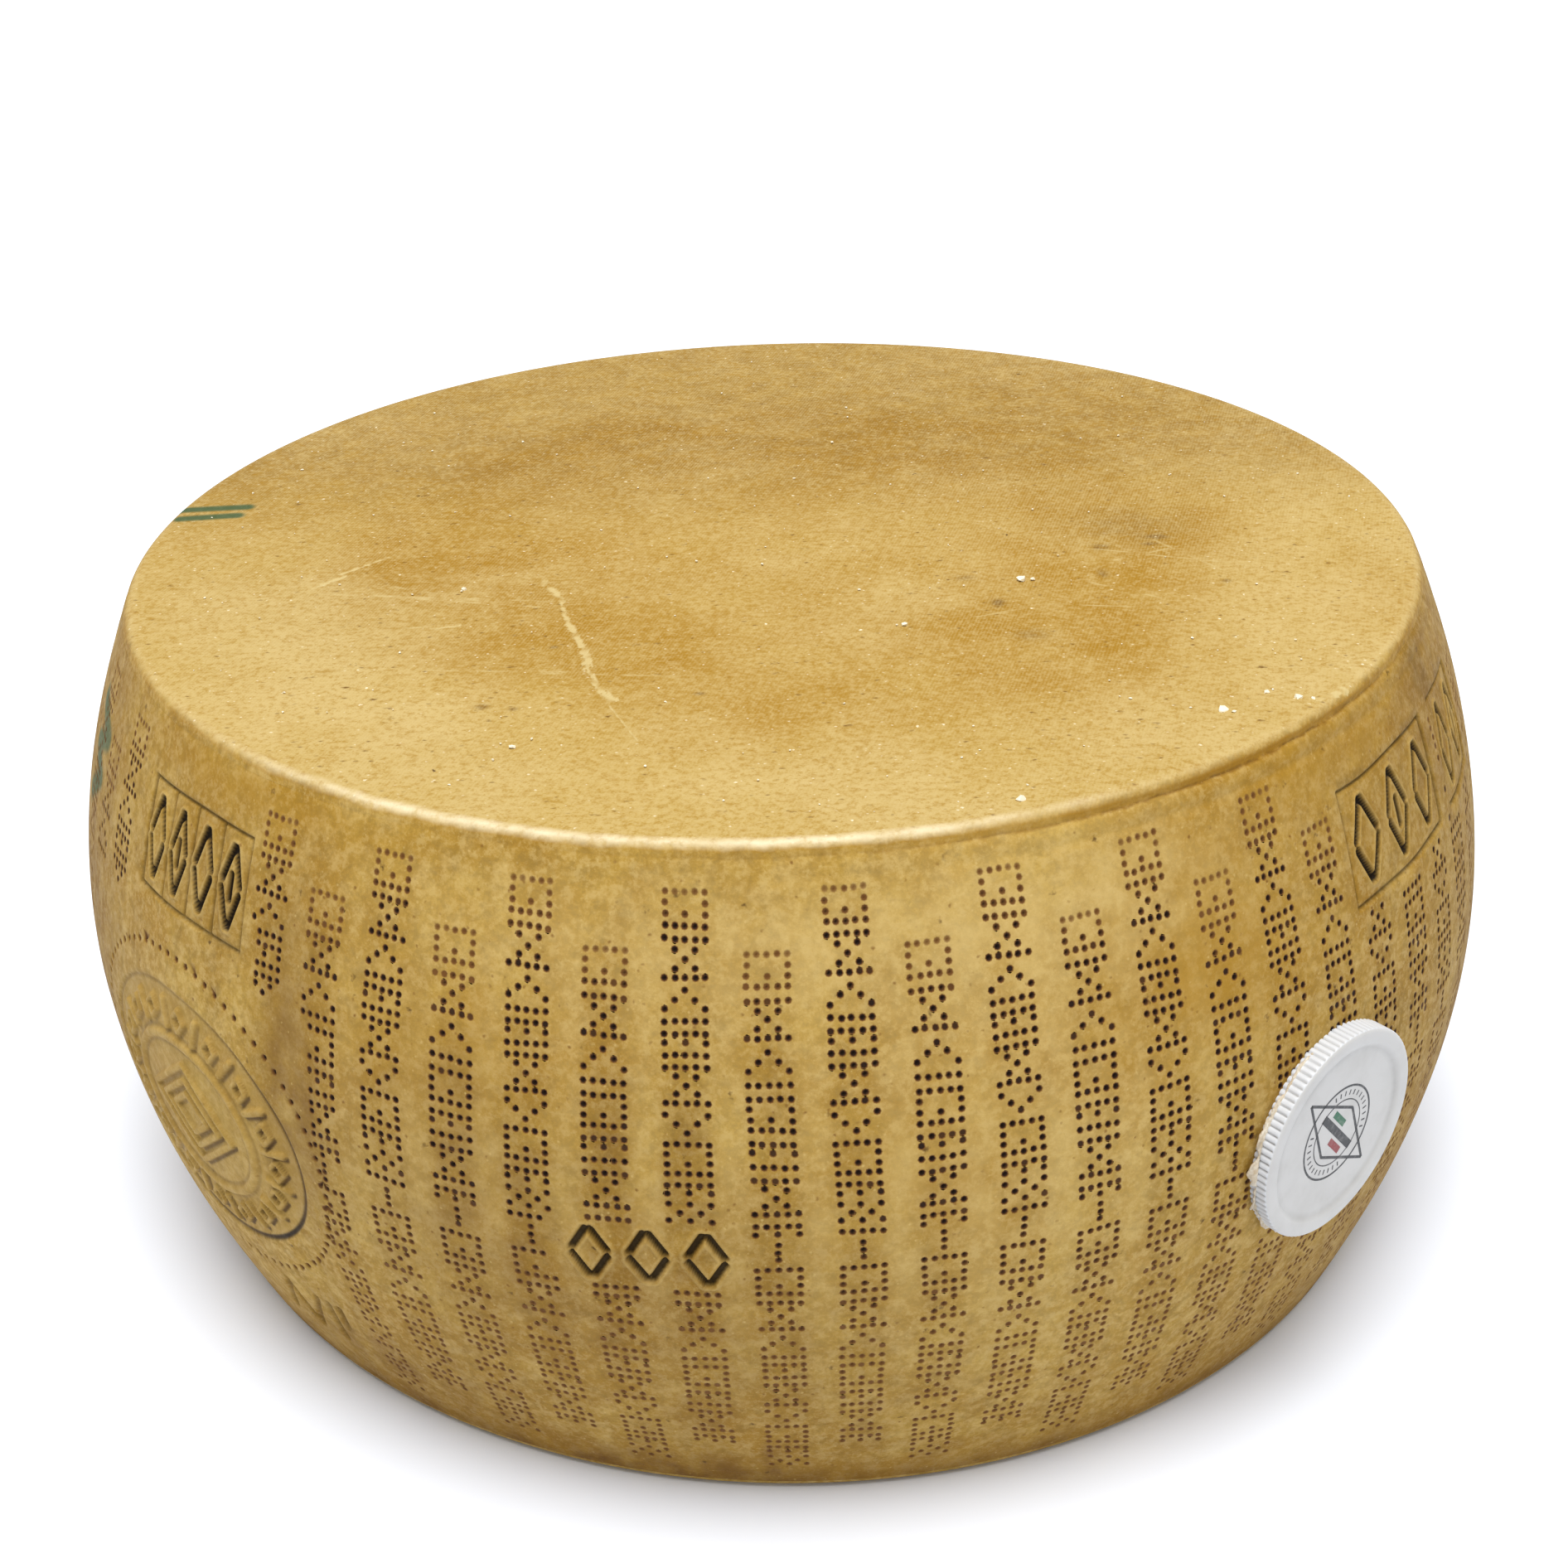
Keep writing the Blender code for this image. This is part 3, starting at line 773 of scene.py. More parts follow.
# %% The pattern of the pins
CELLS_AROUND = 528
CELLS_PER_COLUMN = 8
COLUMNS = CELLS_AROUND // CELLS_PER_COLUMN
ROWS = 78
FIRST_COLUMN_TURN = -0.5
EDGE_WIDTH = 0.0040
CELL_WIDTH = 2 * math.pi * WIDEST_RADIUS / CELLS_AROUND
CELL_HEIGHT = (SIDE_LENGTH - 2 * EDGE_WIDTH) / ROWS
CLOSE, OPEN, GAP = 0.00248, 0.00285, 0.00345
MOTIFS = {
    "bar": (("#####", GAP),),
    "box": (("#####", OPEN), ("#...#", OPEN), ("#.#.#", OPEN), ("#####", GAP)),
    "peak": (("..#..", CLOSE), (".#.#.", CLOSE), ("#...#", GAP)),
    "vee": (("#...#", CLOSE), (".#.#.", CLOSE), ("..#..", GAP)),
    "bow": (("#####", CLOSE), (".#.#.", CLOSE), ("..#..", CLOSE), (".#.#.", CLOSE), ("#####", GAP)),
    "cross": (("..#..", OPEN), ("#####", OPEN), ("..#..", GAP)),
    "comb": (("#####", CLOSE), ("#.#.#", GAP)),
    "studs": (("#.#.#", CLOSE), (".#.#.", CLOSE), ("#.#.#", GAP)),
}
LONG_BAND = (
    "box", "bow", "peak", "bar", "comb", "bar", "bow",
    "vee", "box", "comb", "studs", "bar", "bow", "bar",
)
SHORT_BAND = (
    "box", "bow", "peak", "bar", "box", "comb", "bar",
    "bow", "comb", "box", "bar", "vee", "comb",
)
TALL_TOP, TALL_FOOT = 0.2120, 0.0295
SHORT_TOP, SHORT_FOOT = 0.1960, 0.0160
MIDDLE = 0.1120
DASH_STEP = 0.0025
CLEAR_MARGIN = 0.0030
# Each field round the seal is (left and right end in degrees, top)
SEAL_FIELDS = ((-68.0, -34.5, 0.160), (-57.5, -40.0, 0.180))
STENCIL_HALF_TURN = 5.9
PIN_WANDER = 0.00009
WANDER_LIMIT = 1.8


def band_rows(names, length):
    """The rows of a band as (distance from its top, marks); its gaps stretch to fill the length"""
    rows, gaps, place, index = [], 0, 0.0, 0
    while True:
        motif = MOTIFS[names[index % len(names)]]
        size = sum(step for _, step in motif)
        if place + size - GAP > length + GAP * 0.6:
            break
        for marks, step in motif:
            rows.append([place, marks, gaps])
            place += step
        gaps += 1
        index += 1
    spare = (length - rows[-1][0]) / max(1, gaps - 1)
    return [(place + spare * passed, marks) for place, marks, passed in rows]


def column_rows(column):
    """The rows of one column from the top down, as (rise, five marks)"""
    tall = column % 2 == 1
    top, foot = (TALL_TOP, TALL_FOOT) if tall else (SHORT_TOP, SHORT_FOOT)
    names = (LONG_BAND, SHORT_BAND) if tall else (SHORT_BAND, LONG_BAND)
    around_dash = DASH_STEP + GAP
    upper = band_rows(names[0], top - MIDDLE - around_dash)
    lower = band_rows(names[1], MIDDLE - around_dash - foot)
    rows = [(top - place, marks) for place, marks in upper]
    rows += [(MIDDLE + DASH_STEP * step, "..#..") for step in (1, 0, -1)]
    return rows + [(MIDDLE - around_dash - place, marks) for place, marks in lower]


def column_lines(rows):
    """Heights of the lines between a column's cells, and the number of its lowest filled row"""
    heights = [rise for rise, _ in reversed(rows)]
    borders = [(low + high) / 2 for low, high in zip(heights, heights[1:])]
    first, last = heights[0] - OPEN / 2, heights[-1] + OPEN / 2
    empty = ROWS - len(rows)
    below = first - EDGE_WIDTH
    above = SIDE_LENGTH - EDGE_WIDTH - last
    rows_below = round(empty * below / (below + above))
    lower = [EDGE_WIDTH + below * step / rows_below for step in range(rows_below)]
    rows_above = empty - rows_below
    upper = [last + above * step / rows_above for step in range(rows_above + 1)]
    return lower + [first] + borders + upper, rows_below


def is_clear(x, y):
    """Places that carry another mark, so that the pins were left out of the mould"""
    for turn, rise, width, height, _ in PLATES:
        if abs(x - across(turn)) < width / 2 + CLEAR_MARGIN and y > rise - height / 2 - CLEAR_MARGIN:
            return True
    for left, right, top in SEAL_FIELDS:
        if across(left) < x < across(right) and y < top:
            return True
    stencil_x, stencil_y = x - across(STENCIL_TURNS[1]), y - STENCIL_RISE
    half_width = across(STENCIL_HALF_TURN) + STENCIL_WIDTH * 0.4
    if abs(stencil_x) < half_width and abs(stencil_y) < STENCIL_HEIGHT * 0.62:
        return True
    return math.hypot(x - across(CAP_TURN), y - CAP_RISE) < CAP_RADIUS * 0.9


def pin_strength(rise, rows_from_top, faint_rows):
    """Dark pins in the upper half; brown and shallow ones in the top rows and in the lower half"""
    top = 0.50 + 0.50 * min(1.0, rows_from_top / faint_rows)
    low = 0.62 + 0.38 * min(1.0, max(0.0, (rise - 0.075) / 0.05))
    return min(top, low)


def wander(draw):
    return max(-WANDER_LIMIT, min(WANDER_LIMIT, draw.gauss(0, 1))) * PIN_WANDER


def pin_cells():
    """Every cell that holds a pin: {(cell round, row): (x, y, how strong, from 0 to 1)}"""
    draw = random.Random(11)
    pins, lines = {}, []
    for column in range(COLUMNS):
        rows = column_rows(column)
        borders, lowest = column_lines(rows)
        lines.append(borders)
        faint_rows = draw.uniform(3, 10)
        for number, (rise, marks) in enumerate(rows):
            row = lowest + len(rows) - 1 - number
            for place, mark in enumerate(marks):
                cell = column * CELLS_PER_COLUMN + place - 2
                turn = (FIRST_COLUMN_TURN + cell * 360 / CELLS_AROUND + 180) % 360 - 180
                strength = pin_strength(rise, number, faint_rows) - draw.uniform(0, 0.14)
                x = across(turn) + wander(draw)
                y = rise + wander(draw)
                if mark == "#" and not is_clear(across(turn), rise):
                    pins[(cell % CELLS_AROUND, row)] = (x, y, strength)
    return pins, lines


PINS, LINES = pin_cells()
print(len(PINS), "pins; cells", round(CELL_WIDTH * 1000, 2), "by", round(CELL_HEIGHT * 1000, 2), "mm")

# %% [markdown]
# Now the relief of the side. The rim has a worn groove under it, deeper at the right. The mould's
# band left a shallow upright trough beside the seal. The whole rind swells and sinks by a few tenths
# of a millimetre. All of it is one function of place, so that neighbouring sheets agree. The stains
# stand in tables, with their places and widths round the wheel in degrees.

# %% Relief, stains and painted shade of the side
GROOVE_FROM_RIM = 0.0036
GROOVE_DEPTH = 0.0011
GROOVE_HALF_WIDTH = 0.0011
LOWER_GROOVE_STEP = 0.0060
LOWER_GROOVE_DEPTH = 0.0005
LOWER_GROOVE_HALF_WIDTH = 0.0014
SLOW_SWELL = 0.00035
QUICK_SWELL = 0.00010
TROUGH_TURN = -37.0
TROUGH_HALF_TURN = 2.0
TROUGH_DEPTH = 0.0007
FRAME_DEPTH = 0.0009
FOOT_MARK_DEPTH = 0.0012
SEAL_DEPTH = 0.0009
SEAL_EDGE_DEPTH = 0.0007
SEAL_LIFT = 0.0012
INNER_OVAL_LIFT = 0.0011
SEAL_PIN_DEPTH = 0.0010
# Each stain is (strength, turn, rise, half of its turn, half of its rise)
OCHRE_PLACES = (
    (0.70, 31, 0.172, 9, 0.028), (0.50, 48, 0.212, 18, 0.013),
    (0.40, -24, 0.165, 9, 0.022), (0.35, 10, 0.135, 8, 0.030),
)
BROWN_PLACES = (
    # The first row is a brown stain and painted shade in the trough beside the seal.
    (0.85, -36, 0.135, 2.8, 0.042), (0.12, 0, 0.195, 26, 0.020), (0.18, -28, 0.120, 9, 0.05),
    (0.34, -8, 0.095, 15, 0.062), (0.26, -21, 0.110, 8, 0.055), (0.40, -46, 0.190, 10, 0.022),
    (0.45, -33, 0.030, 11, 0.022), (0.55, -11, 0.008, 10, 0.010), (0.90, -2, 0.014, 0.5, 0.012),
    (0.30, 58, 0.190, 14, 0.030), (0.25, 56, 0.050, 16, 0.05), (0.16, 0, 0.060, 20, 0.045),
    (0.35, -72, 0.120, 13, 0.090),
)
PALE_PLACES = (
    (0.45, 17, 0.140, 11, 0.070), (0.30, -54, 0.110, 7, 0.050), (0.10, 0, 0.180, 30, 0.025),
    (0.15, -28, 0.125, 9, 0.04), (0.40, 23, 0.203, 9, 0.014),
)
BETWEEN_COLUMNS = ((0.28, 0, 0.130, 38, 0.060),)
DOWN_COLUMNS = ((0.34, -11, 0.142, 14, 0.026),)
MARKER_PLACES = ((-73.5, 0.199), (-69.0, 0.192), (-73.0, 0.185), (-69.5, 0.178), (-73.0, 0.168))


def bell(away, half_width):
    """1 in the middle of a band, and falling off softly on both sides"""
    return np.exp(-((away / half_width) ** 2))


def round_place(x):
    """The place round the wheel that a length on the flat sheet comes to, without a seam"""
    return WIDEST_RADIUS * np.sin(x / WIDEST_RADIUS), WIDEST_RADIUS * np.cos(x / WIDEST_RADIUS)


def side_patches(x, y, table):
    rows = [(share, across(turn), rise, across(half), high) for share, turn, rise, half, high in table]
    return patches(x, y, rows)


def groove_share(x):
    """How strongly the groove under the rim shows: most at the right of the front"""
    return 0.12 + 0.88 * bell(x - across(38), across(26))


def side_lift(x, y):
    from_rim = SIDE_LENGTH - y
    share = groove_share(x)
    from_groove = from_rim - GROOVE_FROM_RIM - 0.0003 * ripple(x, 0 * x, 31, 0.06)
    lift = -GROOVE_DEPTH * share * bell(from_groove, GROOVE_HALF_WIDTH)
    lift -= LOWER_GROOVE_DEPTH * share * bell(from_groove - LOWER_GROOVE_STEP, LOWER_GROOVE_HALF_WIDTH)
    wave_x, wave_y = round_place(x)
    fade = smooth_step(from_rim / 0.02) * smooth_step(y / 0.02)
    slow = ripple(wave_x + 0.6 * y, wave_y - 0.3 * y, 3, 0.11) - 1
    quick = ripple(wave_x - 0.8 * y, wave_y + 0.5 * y, 4, 0.028) - 1
    lift += fade * (SLOW_SWELL * slow + QUICK_SWELL * quick)
    trough = bell(x - across(TROUGH_TURN), across(TROUGH_HALF_TURN)) * smooth_step((y - 0.03) / 0.03)
    return lift - TROUGH_DEPTH * trough


def stroke_lift(near):
    """A pressed stroke: a groove with a low lip along it"""
    groove = STROKE_DEPTH * smooth_step(1.5 - near / (SIGN_STROKE * 0.5))
    return LIP_HEIGHT * bell(near / SIGN_STROKE - 0.95, 0.30) - groove


def mark_lift(x, y):
    """Pressed marks: their lift, how dark they are, and a painted highlight on the lip round each stroke
    """
    sign_near = np.full(x.shape, 1.0)
    lift = np.zeros_like(x)
    dark = np.zeros_like(x)
    for plate in PLATES:
        turn, rise, width, height, _ = plate
        inside_x = width / 2 - np.abs(x - across(turn))
        inside_y = height / 2 - np.abs(y - rise)
        inside = smooth_step(np.minimum(inside_x, inside_y) / 0.0012 + 0.5)
        edge = stroke_distance(x, y, plate_frames(plate))
        sign = stroke_distance(x, y, plate_strokes(plate))
        sign_near = np.minimum(sign_near, sign)
        lift -= PLATE_DEPTH * 0.6 * inside + FRAME_DEPTH * smooth_step(1 - edge / 0.0010)
        lift += stroke_lift(sign)
        dark += 0.60 * smooth_step(1 - edge / 0.0009)
        dark += smooth_step((1.5 - sign / (SIGN_STROKE * 0.5)) * 2)
    stencil = stroke_distance(x, y, stencil_strokes())
    lift += stroke_lift(stencil)
    dark += 0.9 * smooth_step((1.25 - stencil / (SIGN_STROKE * 0.5)) * 2)
    # Painted highlight: the lip round each stroke is painted pale.
    lip_highlight = 0.4 * bell(np.minimum(sign_near, stencil) / SIGN_STROKE - 1.0, 0.28)
    return lift, np.clip(dark, 0, 1), lip_highlight


def foot_mark_lift(x, y):
    """The low mark's lift and the painted shade in its creases"""
    mark = stroke_distance(x, y, foot_mark_strokes())
    # Painted shade in the mark's groove.
    crease_shade = 0.55 * smooth_step(1 - np.abs(mark - 0.0006) / 0.0012)
    return -FOOT_MARK_DEPTH * smooth_step(1.5 - mark / 0.0012), crease_shade


def dot_oval_distance(x, y):
    """The distance to the nearest of the pin dots round the seal"""
    nearest = np.full(x.shape, 1.0)
    for index in range(DOT_OVAL_COUNT):
        angle = 2 * math.pi * index / DOT_OVAL_COUNT
        dot_x, dot_y = DOT_OVAL[0] * math.cos(angle), DOT_OVAL[1] * math.sin(angle)
        nearest = np.minimum(nearest, np.hypot(x - dot_x, y - dot_y))
    return nearest


def seal_lift(x, y):
    """The pressed seal: lift, painted shade in creases and at the lower right edge, masks of pin dots and
    field
    """
    seal_x, seal_y = x - across(SEAL_TURN), y - SEAL_RISE
    size = np.hypot(seal_x / SEAL_HALF_WIDTH, seal_y / SEAL_HALF_HEIGHT)
    outer = oval_distance(seal_x, seal_y, SEAL_HALF_WIDTH, SEAL_HALF_HEIGHT)
    inner_sizes = (SEAL_HALF_WIDTH * SEAL_INNER_SHARE, SEAL_HALF_HEIGHT * SEAL_INNER_SHARE)
    inner = oval_distance(seal_x, seal_y, *inner_sizes)
    # Painted shade is strongest at the lower right, away from the light.
    edges = 0.35 + 0.65 * smooth_step(0.4 + seal_x / 0.06 - seal_y / 0.10)
    lift = -SEAL_DEPTH * smooth_step((1.0 - size) * 22)
    lift -= SEAL_EDGE_DEPTH * smooth_step(1.2 - outer / 0.0012)
    lift += INNER_OVAL_LIFT * smooth_step(1.4 - inner / 0.0016)
    # Painted shade in the outer oval's groove and beside the inner oval.
    crease_shade = 0.9 * edges * smooth_step(1.3 - outer / 0.0008)
    crease_shade += 0.30 * smooth_step(1.2 - np.abs(inner - 0.0024) / 0.0009)
    rays, signs = seal_strokes()
    for strokes, width in ((rays, 0.0010), (signs, 0.0007), (seal_centre_strokes(), 0.0009)):
        near = stroke_distance(x, y, strokes)
        # Painted shade: a drop shadow at the lower right of each stroke.
        shade = stroke_distance(x - 0.0009, y + 0.0009, strokes)
        beside = smooth_step(1.8 - shade / width) * smooth_step(near / width - 0.7)
        lift += SEAL_LIFT * smooth_step(1.7 - near / width)
        crease_shade += 0.95 * edges * beside * (size < 0.99)
    pins = dot_oval_distance(seal_x, seal_y)
    lift -= SEAL_PIN_DEPTH * smooth_step(1.2 - pins / 0.0011)
    angle = np.arctan2(seal_y / SEAL_HALF_HEIGHT, seal_x / SEAL_HALF_WIDTH)
    # Painted shade: a black line along the lower right of the outer oval.
    black_shade = 0.9 * smooth_step(1.3 - outer / 0.0011) * bell(angle + 0.75, 0.45)
    masks = {"seal_pin": 0.9 * smooth_step(1.3 - pins / 0.0010)}
    masks["sealed"] = smooth_step((1 - size) * 20 + 0.5)
    return lift, np.clip(crease_shade, 0, 1), black_shade, masks


def marker_strokes():
    """A felt-tip scribble at the far left"""
    points = [(across(turn), rise) for turn, rise in MARKER_PLACES]
    return list(zip(points, points[1:]))


def rim_masks(turn, below):
    """What the rim lines need: how far below it, how worn, how much painted highlight, how deep the groove
    """
    uneven = 0.80 + 0.20 * ripple(WIDEST_RADIUS * np.sin(turn), WIDEST_RADIUS * np.cos(turn), 33, 0.03)
    # Wear and a painted highlight, strongest at the front.
    wear_and_highlight = 0.08 + 0.92 * np.exp(-((np.degrees(turn) + 10) / 31) ** 4)
    groove = groove_share(turn * WIDEST_RADIUS)
    return {"below": (below + 0.005) / 0.020, "wear_and_highlight": wear_and_highlight * uneven, "groove": groove}


def column_share(x):
    """1 along the middle of a column of pins, 0 between the columns"""
    pitch = CELL_WIDTH * CELLS_PER_COLUMN
    away = np.abs((x - across(FIRST_COLUMN_TURN) + pitch / 2) % pitch - pitch / 2)
    return smooth_step(1.35 - away / 0.0075)


def side_stains_and_shade(x, y):
    """How ochre, brown and pale the rind is, with painted shade towards the foot"""
    from_rim = SIDE_LENGTH - y
    column = column_share(x)
    ochre = side_patches(x, y, OCHRE_PLACES) + 0.55 * bell(y, 0.016)
    ochre += 0.55 * bell(from_rim - 0.0090, 0.0070) * bell(x - across(-45), across(14))
    brown = side_patches(x, y, BROWN_PLACES)
    # Painted shade: darker along the foot edge and towards the foot.
    brown += 0.45 * bell(y, 0.010) + 0.20 * smooth_step(1 - y / 0.08)
    # Darker towards both flanks, and a little towards the right.
    brown += 0.25 * smooth_step((np.abs(x) - across(54)) / across(14))
    brown += 0.12 * smooth_step(x / across(60))
    uneven = 0.6 + 0.6 * ripple(x, y, 51, 0.05)
    runs = side_patches(x, y, DOWN_COLUMNS) + 0.12 * smooth_step((0.205 - y) / 0.05)
    brown += uneven * column * runs
    pale = side_patches(x, y, PALE_PLACES)
    pale += 0.55 * bell(from_rim - 0.026, 0.016) * bell(x - across(4), across(27))
    pale = 0.75 * pale + (1 - column) * side_patches(x, y, BETWEEN_COLUMNS)
    return {"ochre": ochre, "brown": brown, "pale": pale}


print("groove at the front right", round(float(groove_share(np.array(across(28)))), 2))

# %% [markdown]
# The rind is one flat grid per sector, six of them, each eleven columns wide, because a single mesh
# would be too heavy. A grid face is one cell of the lattice. Where a pin was, the face is inset
# twice and cut in four, which gives a round halo and a pit. Faces near other marks are subdivided.

# %% Flat sheets with pin holes
SECTORS = 6
SECTOR_CELLS = CELLS_AROUND // SECTORS
FIRST_SECTOR_CELL = -292.5
HALO_RADIUS = 0.00122
PIN_RADIUS = 0.00072
PIN_DEPTH = 0.0012
FIRST_INSET = 0.00010
SECOND_INSET = 0.00030
PIN_LAYERS = ("ring", "pin_x", "pin_y", "pin_strength")


def line_height(position, row):
    """The height of a line between rows, for a place round the wheel counted in cells"""
    column = math.floor((position + 2.5) / CELLS_PER_COLUMN)
    over = max(0.0, position - (column * CELLS_PER_COLUMN + 2.5)) / 3
    here, following = LINES[column % COLUMNS][row], LINES[(column + 1) % COLUMNS][row]
    return here * (1 - over) + following * over


def flat_grid(sector):
    """A flat grid of cells; also its faces that hold a pin, with the pin of each"""
    bm = bmesh.new()
    bmesh.ops.create_grid(bm, x_segments=SECTOR_CELLS, y_segments=ROWS, size=0.5)
    first = FIRST_SECTOR_CELL + sector * SECTOR_CELLS
    bmesh.ops.translate(bm, vec=(0.5, 0.5, 0), verts=bm.verts)
    bmesh.ops.scale(bm, vec=(SECTOR_CELLS, ROWS, 1), verts=bm.verts)
    found = []
    for face in bm.faces:
        middle = face.calc_center_median()
        pin = PINS.get((round(first + middle.x) % CELLS_AROUND, int(middle.y)))
        if pin:
            found.append((face, pin))
    for vert in bm.verts:
        position = first + vert.co.x
        height = line_height(position, round(vert.co.y))
        vert.co = (across(FIRST_COLUMN_TURN) + position * CELL_WIDTH, height, 0)
    return bm, found


def sink_pins(bm, found):
    """Insets the faces that hold a pin; their rings carry the pin's place and strength"""
    layers = [bm.verts.layers.float.new(name) for name in PIN_LAYERS]
    faces = [face for face, _ in found]
    rings = set()
    for ring, thickness in ((1.0, FIRST_INSET), (2.0, SECOND_INSET)):
        bmesh.ops.inset_individual(bm, faces=faces, thickness=thickness, use_even_offset=True)
        for face, pin in found:
            rings.update(face.edges)
            for vert in face.verts:
                for layer, value in zip(layers, (ring, *pin)):
                    vert[layer] = value
    bmesh.ops.subdivide_edges(bm, edges=list(rings), cuts=1, use_grid_fill=True)
    return len(found)


def refine(bm, wanted, cuts):
    """Subdivides the faces without a pin whose middle is wanted"""
    ring = bm.verts.layers.float.get("ring")
    faces = bm.faces[:]
    if ring:
        faces = [face for face in faces if not any(vert[ring] for vert in face.verts)]
    middles = np.array([face.calc_center_median()[:2] for face in faces])
    chosen = [face for face, take in zip(faces, wanted(middles[:, 0], middles[:, 1])) if take]
    edges = {edge for face in chosen for edge in face.edges}
    if edges:
        bmesh.ops.subdivide_edges(bm, edges=list(edges), cuts=cuts, use_grid_fill=True)


def in_box(x, y, middle_x, middle_y, width, height, margin):
    return (np.abs(x - middle_x) < width / 2 + margin) & (np.abs(y - middle_y) < height / 2 + margin)


def near_plate_or_stencil(x, y):
    near = in_box(x, y, across(STENCIL_TURNS[1]), STENCIL_RISE, across(11.8), STENCIL_HEIGHT, 0.002)
    for turn, rise, width, height, _ in PLATES:
        near |= in_box(x, y, across(turn), rise, width, height, 0.0015)
    return near


def near_seal(x, y):
    seal_x, seal_y = x - across(SEAL_TURN), y - SEAL_RISE
    return np.hypot(seal_x / (DOT_OVAL[0] + 0.0015), seal_y / (DOT_OVAL[1] + 0.0015)) < 1


def near_marker(x, y):
    return in_box(x, y, across(-71.5), 0.1835, across(8), 0.039, 0.0)


def near_foot_mark(x, y):
    return in_box(x, y, across(FOOT_MARK_TURN), FOOT_MARK_RISE, 0.040, 0.024, 0.0)


def near_rim(x, y):
    return y > SIDE_LENGTH - 0.018


def near_foot(x, y):
    return y < 0.010


SIDE_CUTS = (
    (near_plate_or_stencil, 5), (near_seal, 4), (near_marker, 3),
    (near_foot_mark, 3), (near_rim, 2), (near_foot, 1),
)
print("sectors", SECTORS, "of", SECTOR_CELLS, "cells")

# %% [markdown]
# A flat sheet becomes rind in one move of its points: pins are rounded and pushed in, marks are
# pressed, and everything is wrapped round the wheel. The masks for the material are stored with
# the points at the same time. Reading and writing all the points at once keeps this quick.

# %% Wrapping the sheets round the wheel
# The smudge over the right plates is (strength, turn, rise, half of its turn, half of its rise)
SMUDGE = ((0.42, 64.5, 0.212, 2.0, 0.010),)
BOTTOM_REACH = 0.00035
INNER_RING_DEPTH = 0.00022
INNER_RING_DARK = 0.82
SWAY_SIDEWAYS = 0.0009
SWAY_UPWARDS = 0.0011


def read_points(mesh):
    flat = np.empty(len(mesh.vertices) * 3)
    mesh.vertices.foreach_get("co", flat)
    return flat.reshape(-1, 3)


def write_points(mesh, points):
    mesh.vertices.foreach_set("co", np.asarray(points, dtype=np.float32).ravel())
    mesh.update()


def carry(mesh, name, values):
    """Stores a mask with the points"""
    layer = mesh.attributes.new(name, "FLOAT", "POINT")
    layer.data.foreach_set("value", np.clip(values, 0, 1).astype(np.float32))


def layer_values(mesh, name):
    values = np.empty(len(mesh.vertices), dtype=np.float32)
    mesh.attributes[name].data.foreach_get("value", values)
    return values


def round_pins(mesh, x, y):
    """Moves the corners of every pin cell onto circles; gives the new places, depth and darkness"""
    ring, middle_x, middle_y, strength = [layer_values(mesh, name) for name in PIN_LAYERS]
    on_ring = ring > 0.5
    circle = 2 * math.pi * WIDEST_RADIUS
    middle_x = middle_x + np.round((x - middle_x) / circle) * circle
    grid_x, grid_y = x - middle_x, y - middle_y
    far = np.hypot(grid_x, grid_y)
    outer = on_ring & (ring < 1.5)
    bottom = on_ring & ~outer & (far < BOTTOM_REACH)
    inner = on_ring & ~outer & ~bottom
    radius = np.where(outer, HALO_RADIUS, PIN_RADIUS)
    grow = np.where(bottom, 0.0, radius / np.maximum(far, 1e-6))
    x = np.where(on_ring, middle_x + grid_x * grow, x)
    y = np.where(on_ring, middle_y + grid_y * grow, y)
    sink = PIN_DEPTH * bottom + INNER_RING_DEPTH * inner
    dark = bottom + INNER_RING_DARK * inner
    return x, y, sink * strength, dark * strength


def sway(x, y):
    """The mould's bands were never quite straight, so everything on the rind wanders a little"""
    wave_x, wave_y = round_place(x)
    fade = smooth_step((SIDE_LENGTH - y) / 0.03) * smooth_step(y / 0.03)
    sideways = ripple(wave_x + 0.4 * y, wave_y - 0.7 * y, 14, 0.060)
    upwards = ripple(wave_x - 0.5 * y, wave_y + 0.3 * y, 15, 0.050)
    return x + SWAY_SIDEWAYS * fade * sideways, y + SWAY_UPWARDS * fade * upwards


def to_rind(mesh):
    points = read_points(mesh)
    x, y, sink, pin = round_pins(mesh, points[:, 0], points[:, 1])
    lift, pressed, lip_highlight = mark_lift(x, y)
    seal, crease_shade, black_shade, seal_masks = seal_lift(x, y)
    foot_mark, foot_crease_shade = foot_mark_lift(x, y)
    smudge = side_patches(x, y, SMUDGE) * (0.6 + 0.4 * ripple(x, y, 61, 0.010))
    marker = stroke_distance(x, y, marker_strokes())
    masks = {**side_stains_and_shade(x, y), **rim_masks(x / WIDEST_RADIUS, SIDE_LENGTH - y)}
    # The pale mask also takes the painted highlight on the stroke lips.
    masks["pale"] = np.maximum(masks["pale"], lip_highlight)
    masks["marker"] = 0.75 * smooth_step(1.6 - marker / 0.0034)
    masks["pin"] = np.maximum(pin, seal_masks["seal_pin"])
    # Pressed marks and the smudge, with the seal's black painted shade.
    masks["pressed"] = np.maximum(pressed, black_shade) + smudge
    # Painted shade in the seal's creases and in the low mark.
    masks["shaded_crease"] = crease_shade + foot_crease_shade
    masks["sealed"] = seal_masks["sealed"]
    for name, values in masks.items():
        carry(mesh, name, values)
    lift = lift + seal + foot_mark + side_lift(x, y) - sink
    x, y = sway(x, y)
    write_points(mesh, on_side(x / WIDEST_RADIUS, y, lift))


